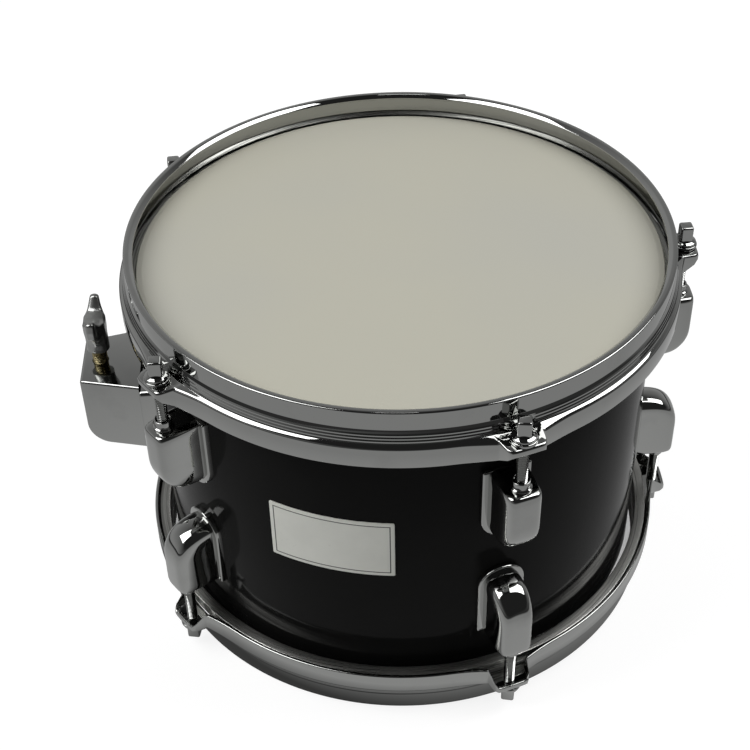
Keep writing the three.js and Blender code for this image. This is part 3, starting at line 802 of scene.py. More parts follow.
@dataclass(frozen=True)
class ClearFilm(Finish):
    """Clear polyester film with a faint haze."""

    name: str = "clear_film"
    tone: Colour = (0.80, 0.82, 0.82)
    hazed: Colour = (0.74, 0.76, 0.76)
    gloss: float = 0.10
    cover: float = 0.30
    haze: Patches = (30, 4)

    def mixed(self, paint: Paint) -> bpy.types.Material:
        """Builds the material.

        Args:
            paint: The empty material.

        Returns:
            The finished material.
        """
        haze = paint.patches(*self.haze)
        return paint.surface(
            {
                "Base Color": paint.blend(haze, self.tone, self.hazed),
                "Roughness": self.gloss + haze * 0.08,
                "Alpha": self.cover + haze * 0.08,
            }
        )


@dataclass(frozen=True)
class SatinPrint(Finish):
    """Satin printed plate with faint clouds and marks."""

    name: str
    tone: Colour
    fading: float = 0.9
    gloss: float = 0.34
    clouds: Patches = (60, 3)
    marks: Patches = (420, 3, 0.66, 0.74)

    def mixed(self, paint: Paint) -> bpy.types.Material:
        """Builds the material.

        Args:
            paint: The empty material.

        Returns:
            The finished material.
        """
        marks = paint.patches(*self.marks)
        darker = tuple(part * self.fading for part in self.tone)
        return paint.surface(
            {
                "Base Color": paint.blend(paint.patches(*self.clouds) * 0.5 + marks * 0.5, self.tone, darker),
                "Roughness": self.gloss + marks * 0.25,
                "Specular IOR Level": 0.35,
            }
        )




# ---- the drum's layout ----


class End(Enum):
    """An end of the drum, by the first word of its nodes' names."""

    BATTER = "batter"
    RESONANT = "resonant"


@dataclass(frozen=True)
class Layout:
    """The sizes that place the drum's pieces, and the frames that they are built in."""

    height: float = 200.0
    lugs: int = 5
    shell_radius: float = 127.0
    rod_circle: float = 142.7
    bracket_azimuth: float = 180.0
    badge_azimuth: float = -108.85
    vent_azimuth: float = 108.0
    front: float = -93.5437
    seat_gap: float = 0.04

    @property
    def drum(self) -> Matrix:
        """The drum's own frame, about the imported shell's axis."""
        low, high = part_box("shell")
        return Matrix.Translation(((low.x + high.x) / 2 / METRES, (low.y + high.y) / 2 / METRES, 0))

    def end(self, end: End) -> Matrix:
        """The frame of one end, with its rim plane at z = 0 and Z pointing out.

        Args:
            end: The end.

        Returns:
            The frame.
        """
        if end is End.BATTER:
            return self.drum @ Matrix.Translation((0, 0, self.height))
        return self.drum @ Matrix.Rotation(math.pi, 4, "X")

    def spoke(self, base: Matrix, azimuth: float, height: float = 0) -> Matrix:
        """A frame whose X axis points out at an azimuth."""
        return base @ Matrix.Rotation(math.radians(azimuth), 4, "Z") @ Matrix.Translation((0, 0, height))

    def shell_at(self, aside: float) -> float:
        """How far out the seats on the shell's skin lie."""
        return math.sqrt((self.shell_radius + self.seat_gap) ** 2 - aside**2)

    def lug_azimuth(self, number: int) -> float:
        """The azimuth of a lug, in degrees."""
        return 360 / self.lugs * (number - 1)


@dataclass
class Assembly(ABC):
    """A sub-assembly that builds its pieces and puts them on their bodies."""

    layout: Layout

    @abstractmethod
    def build(self) -> None:
        """Builds every piece of the sub-assembly."""

    def seat(self, made: bpy.types.Object, body: str, slot: str, *nodes: str) -> bpy.types.Object:
        """Puts a piece on its body and hides the frame's nodes that it replaces.

        Args:
            made: The piece.
            body: The body that it rides on.
            slot: The material slot that it takes its finish from; not used.
            nodes: The frame's nodes that it replaces.

        Returns:
            The piece.
        """
        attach(made, body)
        if nodes:
            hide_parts(*nodes)
        LOG.info("%s on %s: %d faces", made.name, body, len(made.data.polygons))
        return made


# ---- shell, badge and vent ----


@dataclass
class Shell(Assembly):
    """The wooden shell with its bearing edges."""

    wall: float = 7.5
    inset: float = 13.15
    edge_inset: float = 2.5
    edge_fall: float = 2.2
    inner_fall: float = 4.5
    vent_hole: float = 5.6
    vent_height: float = 100.0
    bore_steps: int = 48
    lacquer_depth: float = 0.3
    steps: int = 288

    def build(self) -> None:
        """Builds the shell."""
        radius, inner = self.layout.shell_radius, self.layout.shell_radius - self.wall
        low, high = self.inset, self.layout.height - self.inset
        profile = rounded_path(
            [
                (inner, low + self.inner_fall, 0.6),
                (radius - self.edge_inset, low, 0.5),
                (radius, low + self.edge_fall, 1.2),
                (radius, high - self.edge_fall, 1.2),
                (radius - self.edge_inset, high, 0.5),
                (inner, high - self.inner_fall, 0.6),
            ]
        )
        bore = Form.bar(self.vent_hole, 0, 2 * radius, self.bore_steps)
        bore.moved(self.layout.spoke(Matrix(), self.layout.vent_azimuth, self.vent_height) @ OUTWARD)
        shell = Form.turned(profile, self.steps).carved(bore)
        shell.painted(lambda face: Vector(face.calc_center_median().xy).length < radius - self.lacquer_depth)
        made = shell.piece("drum_shell", self.layout.drum, 35, Lacquer(), ShellWood())
        self.seat(made, "drum", "shell_lacquer", "shell")


@dataclass
class Badge(Assembly):
    """The plain plate on the front, with a thin border line."""

    width: float = 61.0
    height: float = 35.0
    thickness: float = 0.6
    corner: float = 0.8
    centre: float = 108.0
    gap: float = 0.05
    margin: float = 1.9
    line: float = 0.5
    edge: float = 0.15
    strips: int = 48
    plate_tone: Colour = (0.92, 0.93, 0.86)
    line_tone: Colour = (0.05, 0.05, 0.045)

    def build(self) -> None:
        """Builds the badge."""
        half_x, half_y = self.width / 2, self.height / 2
        plate = Form.prism(rectangle(half_x, half_y, self.corner), 0, self.thickness)
        plate.bevelled(self.edge, 2, on_level(self.thickness), held=False)
        for i in range(1, self.strips):
            plate.cut(((-0.5 + i / self.strips) * self.width, 0, 0), (1, 0, 0))
        for way, half in ((Vector((1, 0, 0)), half_x), (Vector((0, 1, 0)), half_y)):
            for side in (-1, 1):
                for place in (half - self.margin, half - self.margin - self.line):
                    plate.cut(way * side * place, way)
        plate.painted(self._on_line)
        root = self.layout.shell_radius + self.gap

        def wrapped(point: Vector) -> Vector:
            """Wraps a point of the flat plate round the shell.

            Args:
                point: The point, with its height over the shell in z.

            Returns:
                The wrapped point.
            """
            angle = point.x / self.layout.shell_radius
            radius = root + point.z
            return Vector((radius * math.cos(angle), radius * math.sin(angle), point.y))

        plate.reshaped(wrapped)
        place = self.layout.spoke(self.layout.drum, self.layout.badge_azimuth, self.centre)
        finishes = (SatinPrint("badge_plate", self.plate_tone), SatinPrint("badge_line", self.line_tone))
        self.seat(plate.piece("badge_plate", place, 30, *finishes), "drum", "badge_plate", "badge")

    def _on_line(self, face: bmesh.types.BMFace) -> bool:
        """Tells whether a face of the flat plate lies on the border line.

        Args:
            face: The face.

        Returns:
            True on the line.
        """
        middle = face.calc_center_median()
        inward = min(self.width / 2 - abs(middle.x), self.height / 2 - abs(middle.y))
        return self.margin < inward < self.margin + self.line and middle.z > self.thickness / 2


@dataclass
class Vent(Assembly):
    """The eyelet of the air vent."""

    bore: float = 4.5
    tube_wall: float = 0.8
    flange: float = 8.5
    flange_thickness: float = 0.9
    height: float = 100.0
    wall: float = 7.5
    inner_gap: float = 0.45
    outer_gap: float = 0.05
    rim: float = 0.75
    crown: float = 1.2

    def build(self) -> None:
        """Builds the eyelet."""
        outer = self.layout.shell_radius
        inner = outer - self.wall - self.inner_gap
        tube = self.bore + self.tube_wall
        profile = rounded_path(
            [
                (self.bore, inner - self.flange_thickness, 0.7),
                (self.flange, inner - self.flange_thickness, 0.35),
                (self.flange, inner, 0.2),
                (tube, inner, 0.2),
                (tube, outer + self.outer_gap, 0.1),
                (self.flange, outer + self.outer_gap, 0.1),
                (self.flange - 0.3, outer + self.rim, 0.4),
                (self.bore, outer + self.crown, 0.9),
            ]
        )
        place = self.layout.spoke(self.layout.drum, self.layout.vent_azimuth, self.height)
        made = Form.turned(profile, 64).moved(OUTWARD).piece("vent_ring", place, 40, Chrome("vent_chrome"))
        self.seat(made, "drum", "vent_chrome", "vent_eyelet")


# ---- heads and hoops ----


@dataclass
class Head(Assembly):
    """A head: the film and the flesh hoop that holds its edge."""

    end: End = End.BATTER
    recess: float = 12.5
    film: float = 0.35
    edge_radius: float = 127.0
    collar_radius: float = 130.0
    slope_fall: float = 0.35
    edge_fall: float = 9.0
    ring_inner: float = 130.3
    ring_outer: float = 136.2
    ring_top: float = 15.3
    ring_height: float = 11.2
    ring_flat: float = 5.6
    ring_slope: float = 3.2
    rings: tuple[float, ...] = (0.0, 30.0, 60.0, 90.0, 110.0)
    steps: int = 240

    def build(self) -> None:
        """Builds the film and the flesh hoop."""
        place, end = self.layout.end(self.end), self.end.value
        film = CoatedFilm() if self.end is End.BATTER else ClearFilm()
        made = self._film().piece(f"{end}_head_film", place, 50, film)
        self.seat(made, "drum", film.name, f"{end}_film")
        metal = RolledRing("flesh_hoop_metal")
        made = self._flesh_hoop().piece(f"{end}_head_ring", place, 40, metal)
        self.seat(made, "drum", metal.name, f"{end}_flesh_hoop")

    def _film(self) -> Form:
        """Turns the film, flat over the shell with its edge turned down."""
        top, low = -self.recess, -self.recess - self.slope_fall
        edge = low - self.edge_fall
        profile = rounded_path(
            [
                *((radius, top - self.film, 0) for radius in self.rings),
                (self.edge_radius, top - self.film, 1.2),
                (self.collar_radius - self.film, low - self.film, 0.4),
                (self.collar_radius - self.film, edge, 0),
                (self.collar_radius, edge, 0),
                (self.collar_radius, low, 0.7),
                (self.edge_radius, top, 1.2),
                *((radius, top, 0) for radius in reversed(self.rings)),
            ],
            closed=False,
            steps=8,
        )
        return Form.turned(profile, self.steps, closed=False)

    def _flesh_hoop(self) -> Form:
        """Turns the metal ring round the film's edge."""
        profile = rounded_path(
            [
                (self.ring_inner, -self.ring_top - self.ring_height, 0.5),
                (self.ring_outer, -self.ring_top - self.ring_height, 0.5),
                (self.ring_outer, -self.ring_top - self.ring_flat, 1.2),
                (self.ring_inner + self.ring_slope, -self.ring_top, 0.8),
                (self.ring_inner, -self.ring_top, 0.3),
            ]
        )
        return Form.turned(profile, self.steps)


@dataclass
class Hoop(Assembly):
    """A pressed steel hoop: upright collar, flange, bead, down-turned skirt, and an ear at each rod."""

    end: End = End.BATTER
    inner: float = 132.9
    sheet: float = 1.9
    lip_reach: float = 2.6
    lip_depth: float = 2.7
    lip_fall: float = 1.6
    collar: float = 9.7
    shoulder_radius: float = 136.9
    shoulder: float = 16.2
    bead_radius: float = 138.8
    bead_round: float = 1.4
    flat: float = 17.6
    skirt: float = 28.4
    ear_tip: float = 148.8
    ear_flat: float = 6.0
    ear_half: float = 9.6
    ear_flare: float = 30.0
    flare_share: float = 0.42
    flare_peak: float = 1.45
    tongue_power: float = 2.6
    flank_reach: float = 1.6
    flank_power: float = 0.35
    ridges: int = 3
    ridge_height: float = 0.22
    ridge_lead: float = 0.65
    ridge_fall: float = 1.7
    ridge_round: float = 0.25
    ear_lip: float = 21.4
    ear_inner: float = 136.2
    steps: int = 600

    def build(self) -> None:
        """Builds the hoop."""
        hoop = Form.turned(self._section(0), self.steps)
        index = self._numbered(hoop)
        sections: dict[int, list[Point]] = {}
        for vert in hoop.mesh.verts:
            azimuth = math.atan2(vert.co.y, vert.co.x)
            share = round(self._ear_share(azimuth), 4)
            key = int(share * 10000)
            if key not in sections:
                sections[key] = self._section(share)
            radius, z = sections[key][index[vert]]
            vert.co = (radius * math.cos(azimuth), radius * math.sin(azimuth), z)
        made = hoop.piece(f"{self.end.value}_rim_hoop", self.layout.end(self.end), 60, Chrome("hoop_chrome"))
        self.seat(made, f"{self.end.value}_hoop_set", "hoop_chrome", f"{self.end.value}_hoop")

    def _numbered(self, hoop: Form) -> dict[bmesh.types.BMVert, int]:
        """Finds the place in the plain section of each point of the plain ring.

        Args:
            hoop: The ring.

        Returns:
            The place of each point.
        """
        section = self._section(0)
        places: dict[Point, int] = {}
        numbered = {}
        for vert in hoop.mesh.verts:
            here = (round(vert.co.xy.length, 3), round(vert.co.z, 3))
            if here not in places:
                places[here] = min(range(len(section)), key=lambda i: math.dist(section[i], here))
            numbered[vert] = places[here]
        return numbered

    def _ear_share(self, azimuth: float) -> float:
        """How far out the ear stands at an azimuth.

        Args:
            azimuth: The azimuth in radians.

        Returns:
            1 over the ear's flat and 0 beyond the ear.
        """
        step = math.tau / self.layout.lugs
        distance = abs((azimuth + step / 2) % step - step / 2) * self.bead_radius
        flare = max(0.0, 1 - distance / self.ear_flare)
        corner = min(1.0, max(0.0, (distance - self.ear_flat) / (self.ear_half - self.ear_flat)))
        tongue = (1 - corner**self.tongue_power) ** (1 / self.tongue_power)
        flank = smooth_share((self.ear_half + self.flank_reach - distance) / (2 * self.flank_reach))
        flared = self.flare_share * self.flare_peak * flare**2
        return flared + (1 - flared) * tongue * flank**self.flank_power

    def _section(self, ear: float) -> list[Point]:
        """The hoop's section where the ear stands out by a share.

        Args:
            ear: The ear's share.

        Returns:
            The section's points.
        """

        def between(plain: float, full: float) -> float:
            """A size between its plain value and its value at the ear."""
            return plain + (full - plain) * ear

        collar = self.inner + self.sheet
        lip = self.inner - self.lip_reach
        slope = (collar + self.shoulder_radius) / 2
        slope_fall = (self.collar + self.shoulder + self.bead_round) / 2
        bead = between(self.bead_radius, self.ear_tip)
        shoulder = between(self.shoulder_radius, self.ear_inner)
        shoulder_fall = between(self.shoulder, self.flat)
        skirt = self.skirt + (self.ear_lip - self.skirt) * ear**2
        under = self.flat + self.sheet
        return rounded_path(
            [
                (collar, -0.2, 1.2),
                (collar, -self.collar, 0.8),
                *self._ridges(ear, collar, shoulder, shoulder_fall),
                (shoulder, -shoulder_fall, 0.5),
                (bead, -self.flat + 0.3 - 0.3 * ear, self.bead_round + 0.8 - 0.9 * ear),
                (bead, -skirt, 0.6),
                (bead - self.sheet, -skirt, 0.6),
                (bead - self.sheet, -under, 0.9),
                (self.shoulder_radius - self.sheet / 2, -under, 0.9),
                (slope - self.sheet, -slope_fall - self.sheet / 2, 0.9),
                (self.inner, -self.collar - self.sheet / 2, 0.9),
                (self.inner, -self.lip_depth, 0.6),
                (lip, -self.lip_depth, 0.45),
                (lip, -self.lip_fall, 0.6),
                (self.inner - 0.7, 0, 1.6),
                (collar - 1.0, 0, 1.2),
            ],
            steps=4,
        )

    def _ridges(self, ear: float, collar: float, shoulder: float, fall: float) -> list[Corner]:
        """The fine rolled ridges between the collar and the flange, fading out at the ears.

        Args:
            ear: The ear's share.
            collar: The radius of the collar's outside.
            shoulder: The radius where the flange begins.
            fall: How far the flange's start lies under the hoop's top.

        Returns:
            The corners of the ridges, from the top down.
        """
        start = collar + self.ridge_lead
        points = []
        for i in range(2 * self.ridges + 1):
            share = i / (2 * self.ridges + 1)
            out = self.ridge_height * (1 - ear) * (i % 2)
            radius = start + (shoulder - start) * share + out
            depth = self.collar + self.ridge_fall + (fall - self.collar - self.ridge_fall) * share
            points.append((radius, -depth, self.ridge_round))
        return points


@dataclass
class TensionRods(Assembly):
    """The five tension rods of one end, each with its washer."""

    end: End = End.BATTER
    radius: float = 2.74
    thread_depth: float = 0.6
    pitch: float = 25.4 / 24
    shaft: float = 42.0
    plain: float = 1.2
    collar_radius: float = 5.6
    collar_height: float = 1.8
    head_width: float = 6.4
    head_height: float = 8.2
    head_corner: float = 1.0
    dome: float = 2.2
    washer_seat: float = -17.45
    washer_radius: float = 6.2
    washer_bore: float = 3.1
    washer_thickness: float = 1.6
    rod_seat: float = -15.65
    stray: float = 9.0

    def build(self) -> None:
        """Builds the rods and washers."""
        rod, washer = self._rod(), self._washer()
        end = self.end.value
        for number in range(1, self.layout.lugs + 1):
            at = self.layout.spoke(self.layout.end(self.end), self.layout.lug_azimuth(number))
            at = at @ Matrix.Translation((self.layout.rod_circle, 0, 0))
            seat = at @ Matrix.Translation((0, 0, self.washer_seat))
            made = washer.copy().piece(f"{end}_rod_washer_{number}", seat, 40, Chrome("rod_chrome"))
            self.seat(made, f"{end}_hoop_set", "rod_chrome", f"{end}_washer_{number}")
            seat = at @ Matrix.Translation((0, 0, self.rod_seat))
            ahead = self.layout.front if self.end is End.BATTER else -self.layout.front
            quarter = (ahead - self.layout.lug_azimuth(number) + 45) % 90 - 45
            seat = seat @ Matrix.Rotation(math.radians(quarter + self.stray * math.sin(7 * number)), 4, "Z")
            made = rod.copy().piece(f"{end}_tension_rod_{number}", seat, 32, Chrome("rod_chrome"))
            self.seat(made, f"{end}_rod_turning_{number}", "rod_chrome", f"{end}_rod_{number}")

    def _rod(self) -> Form:
        """Builds a rod with the underside of its collar at z = 0."""
        rod = Form.thread(self.radius, self.thread_depth, self.pitch, -self.shaft, -self.plain)
        top = self.collar_height
        collar = rounded_path(
            [
                (0, -self.plain - 0.5, 0),
                (self.radius - 0.1, -self.plain - 0.5, 0),
                (self.radius - 0.1, 0, 0.3),
                (self.collar_radius, 0, 0.4),
                (self.collar_radius, top - 0.7, 0.5),
                (self.head_width / 2 + 0.9, top, 0.8),
                (0, top, 0),
            ],
            closed=False,
        )
        rod.with_form(Form.turned(collar, 48, closed=False))
        half, high = self.head_width / 2, top + self.head_height
        head = Form.prism(rectangle(half, half, self.head_corner, steps=3), top / 2, high)
        head.bevelled(self.dome, 5, on_level(high))
        return rod.with_form(head)

    def _washer(self) -> Form:
        """Turns a washer from z = 0 up."""
        bore, radius, high = self.washer_bore, self.washer_radius, self.washer_thickness
        section = [(bore, 0, 0.2), (radius, 0, 0.4), (radius, high, 0.5), (bore, high, 0.3)]
        return Form.turned(rounded_path(section), 48)


@dataclass
class Lugs(Assembly):
    """The five lugs of one end, with their swivel nuts and the screws that hold them from inside."""

    end: End = End.BATTER
    top: float = 46.0
    length: float = 42.5
    body_length: float = 41.0
    root: float = 127.3
    nose: float = 151.1
    shoulder: float = 146.6
    flange_half: float = 12.0
    flange_thickness: float = 3.0
    flange_arch: float = 11.5
    body_half: float = 10.3
    shoulder_half: float = 9.4
    nose_half: float = 7.0
    dome_length: float = 22.0
    dome_reach: float = 21.0
    arch: float = 10.0
    softness: float = 1.1
    dome_softness: float = 3.0
    dome_slack: float = 0.4
    flat_softness: float = 0.2
    dome_start: float = 0.45
    dome_share: float = 0.35
    columns: int = 56
    column_power: float = 0.92
    first_rows: tuple[float, ...] = (-0.03, -0.1, -0.2, -0.35, -0.55, -0.8, -1.15, -1.6)
    row_step: float = 1.6
    even_rows: int = 12
    dome_rows: int = 34
    widest: float = 40.0
    halvings: int = 26
    flange_edge: float = 0.9
    nut_radius: float = 4.2
    nut_bore: float = 3.05
    nut_stand_out: float = 5.0
    nut_length: float = 20.0
    screw_depth: float = 8.0
    screw_spacing: float = 26.0
    wall: float = 7.5

    def build(self) -> None:
        """Builds the lugs, nuts and screws."""
        lug, nut, screw = self._lug(), self._nut(), Screw(head_radius=4.2, head_height=2.4).form()
        bright, dull = Chrome("lug_chrome", ripple=0.00003), Chrome("nut_chrome", gloss=0.06)
        steel, end = PlatedSteel("screw_steel"), self.end.value
        for number in range(1, self.layout.lugs + 1):
            at = self.layout.spoke(self.layout.end(self.end), self.layout.lug_azimuth(number), -self.top)
            made = lug.copy().piece(f"{end}_lug_casting_{number}", at, 38, bright)
            self.seat(made, "drum", "lug_chrome", f"{end}_lug_{number}")
            rod = at @ Matrix.Translation((self.layout.rod_circle, 0, 0))
            made = nut.copy().piece(f"{end}_swivel_nut_{number}", rod, 35, dull)
            self.seat(made, "drum", "plain_steel", f"{end}_nut_{number}")
            for i, depth in enumerate((self.screw_depth, self.screw_depth + self.screw_spacing)):
                inside = Matrix.Translation((self.layout.shell_radius - self.wall, 0, -depth))
                turn = Matrix.Rotation(-math.pi / 2, 4, "Y") @ Matrix.Rotation(number + 2.0 * i, 4, "Z")
                made = screw.copy().piece(f"{end}_lug_screw_{number}_{i + 1}", at @ inside @ turn, 35, steel)
                self.seat(made, "drum", "plain_steel")

    def _fit(self, x: float, y: float, z: float) -> float:
        """How far a point stands outside the lug's softly rounded body.

        Args:
            x: Its distance from the drum's axis.
            y: Its distance sideways.
            z: Its height over the flat end.

        Returns:
            The distance, negative inside.
        """
        depth = -z
        slant = (self.body_half - self.shoulder_half) / (self.shoulder - self.root)
        chamfer = (self.shoulder_half - self.nose_half) / (self.nose - self.shoulder)
        side = (abs(y) - self.body_half + slant * (x - self.root)) / math.hypot(1, slant)
        corner = (abs(y) - self.shoulder_half + chamfer * (x - self.shoulder)) / math.hypot(1, chamfer)
        body = self._softest([z, depth - self.body_length, x - self.nose, side, corner], self.softness)
        over = max(0.0, depth - (self.body_length - self.dome_length))
        ratio = self.dome_length / self.dome_reach
        across = max(0.0, x - (self.nose - self.dome_reach)) * ratio
        dome = math.hypot(across, over) - self.dome_length - self.dome_slack
        over = max(0.0, depth - (self.body_length - self.arch))
        beside = max(0.0, abs(y) - (self.body_half - self.arch))
        arch = math.hypot(beside, over) - self.arch
        share = smooth_share((depth / self.body_length - self.dome_start) / self.dome_share)
        softness = self.flat_softness + (self.dome_softness - self.flat_softness) * share
        round_end = self._softest([dome, arch], softness)
        return self._softest([body, round_end], self.softness)

    def _softest(self, limits: Sequence[float], softness: float) -> float:
        """The largest of some distances, with the corners between them rounded off."""
        highest = max(limits)
        return highest + softness * math.log(sum(math.exp((limit - highest) / softness) for limit in limits))

    def _skin(self, angle: float, z: float) -> Vector:
        """The point of the body's skin in a direction from its middle line.

        Args:
            angle: The direction in the cross-section, from -90 to 90 degrees, in radians.
            z: The height of the cross-section.

        Returns:
            The point.
        """
        low, high = 0.0, self.widest
        across, along = math.sin(angle), math.cos(angle)
        for _ in range(self.halvings):
            reach = (low + high) / 2
            if self._fit(self.root + reach * along, reach * across, z) > 0:
                high = reach
            else:
                low = reach
        return Vector((self.root + low * along, low * across, z))

    def _lug(self) -> Form:
        """Builds a lug with its flat end at z = 0 and its length running down."""
        columns = [self._column(i / self.columns) for i in range(self.columns + 1)]
        rows = list(self.first_rows)
        rows += [rows[-1] - self.row_step * i for i in range(1, self.even_rows + 1)]
        start, reach = rows[-1], self.body_length + rows[-1] - 0.02
        quarter = math.pi / 2 / self.dome_rows
        rows += [start - reach * math.sin(quarter * i) for i in range(1, self.dome_rows + 1)]
        form = Form()
        bmesh.ops.create_grid(form.mesh, x_segments=len(columns) - 1, y_segments=len(rows) - 1, size=1)
        form.mesh.verts.ensure_lookup_table()
        for i, vert in enumerate(form.mesh.verts):
            vert.co = self._skin(columns[i % len(columns)], rows[i // len(columns)])
        form.closed_up()
        open_edges = [edge for edge in form.mesh.edges if edge.is_boundary]
        bmesh.ops.edgeloop_fill(form.mesh, edges=open_edges)
        self._seated(form)
        return form.with_form(self._flange())

    def _column(self, share: float) -> float:
        """The direction of a column of the skin, closer together at the corners."""
        signed = 2 * share - 1
        return math.copysign(math.pi / 2 * abs(signed) ** self.column_power, signed)

    def _seated(self, form: Form) -> Form:
        """Lays a form's back on the curve of the shell.

        Args:
            form: The form.

        Returns:
            The form itself.
        """
        def laid(point: Vector) -> Vector:
            """Moves a point at the back out or in to the shell.

            Args:
                point: The point.

            Returns:
                Its new place.
            """
            if point.x > self.root + 0.02:
                return point
            return Vector((self.layout.shell_at(point.y), point.y, point.z))

        return form.reshaped(laid)

    def _flange(self) -> Form:
        """Builds the thin flange between the body and the shell."""
        half, low, arch = self.flange_half, -self.length, self.flange_arch
        corners = [(-half, low, arch), (half, low, arch), (half, 0, 0.8), (-half, 0, 0.8)]
        outline = rounded_path(corners, steps=10)
        flange = Form.prism(outline, 0, self.flange_thickness)
        flange.bevelled(self.flange_edge, 4, on_level(self.flange_thickness))
        return flange.reshaped(
            lambda point: Vector((self.layout.shell_at(point.x) + point.z, point.x, point.y))
        )

    def _nut(self) -> Form:
        """Turns a swivel nut with the lug's flat end at z = 0."""
        high, low = self.nut_stand_out, self.nut_stand_out - self.nut_length
        profile = rounded_path(
            [
                (self.nut_bore, low, 0.3),
                (self.nut_radius, low, 0.5),
                (self.nut_radius, 0.05, 0),
                (self.nut_radius + 0.9, 0.05, 0.2),
                (self.nut_radius + 0.9, 0.9, 0.4),
                (self.nut_radius, 1.5, 0.4),
                (self.nut_radius, high, 0.5),
                (self.nut_bore + 0.3, high, 0.3),
                (self.nut_bore, high - 1.2, 0.2),
            ]
        )
        return Form.turned(profile, 48)


@dataclass
class Screw:
    """A pan-head screw with a cross recess, as seen from its head."""

    head_radius: float = 4.4
    head_height: float = 2.6
    washer_radius: float = 6.0
    washer_thickness: float = 0.8
    rounding: float = 2.0
    side: float = 0.5
    slot_share: float = 0.52
    slot_half: float = 0.45
    slot_depth: float = 1.3
    steps: int = 32

    def form(self) -> Form:
        """Builds the head on its washer, with the seat at z = 0 and the head along +Z."""
        radius, seat = self.head_radius, self.washer_thickness
        high, side = self.head_height + seat, seat + self.side
        profile = [(0, seat / 2), (radius - 0.2, seat / 2), (radius, side)]
        for angle in (math.radians(15 * i) for i in range(7)):
            across, up = self.rounding * math.cos(angle), (self.head_height - self.side) * math.sin(angle)
            profile.append((radius - self.rounding + across, side + up))
        profile += [(radius / 2, high), (0, high)]
        head = Form.turned(profile, self.steps, closed=False)
        half_x, half_y = radius * self.slot_share, self.slot_half
        slot = Form.prism(rectangle(half_x, half_y, 0), high - self.slot_depth, high + 1)
        head.carved(slot.copy(), slot.moved(Matrix.Rotation(math.pi / 2, 4, "Z")))
        low, edge = 0.02, 0.25
        ring = [(0, low, 0), (self.washer_radius, low, edge), (self.washer_radius, seat, edge), (0, seat, 0)]
        return head.with_form(Form.turned(rounded_path(ring, closed=False), self.steps, closed=False))


# ---- stand bracket ----


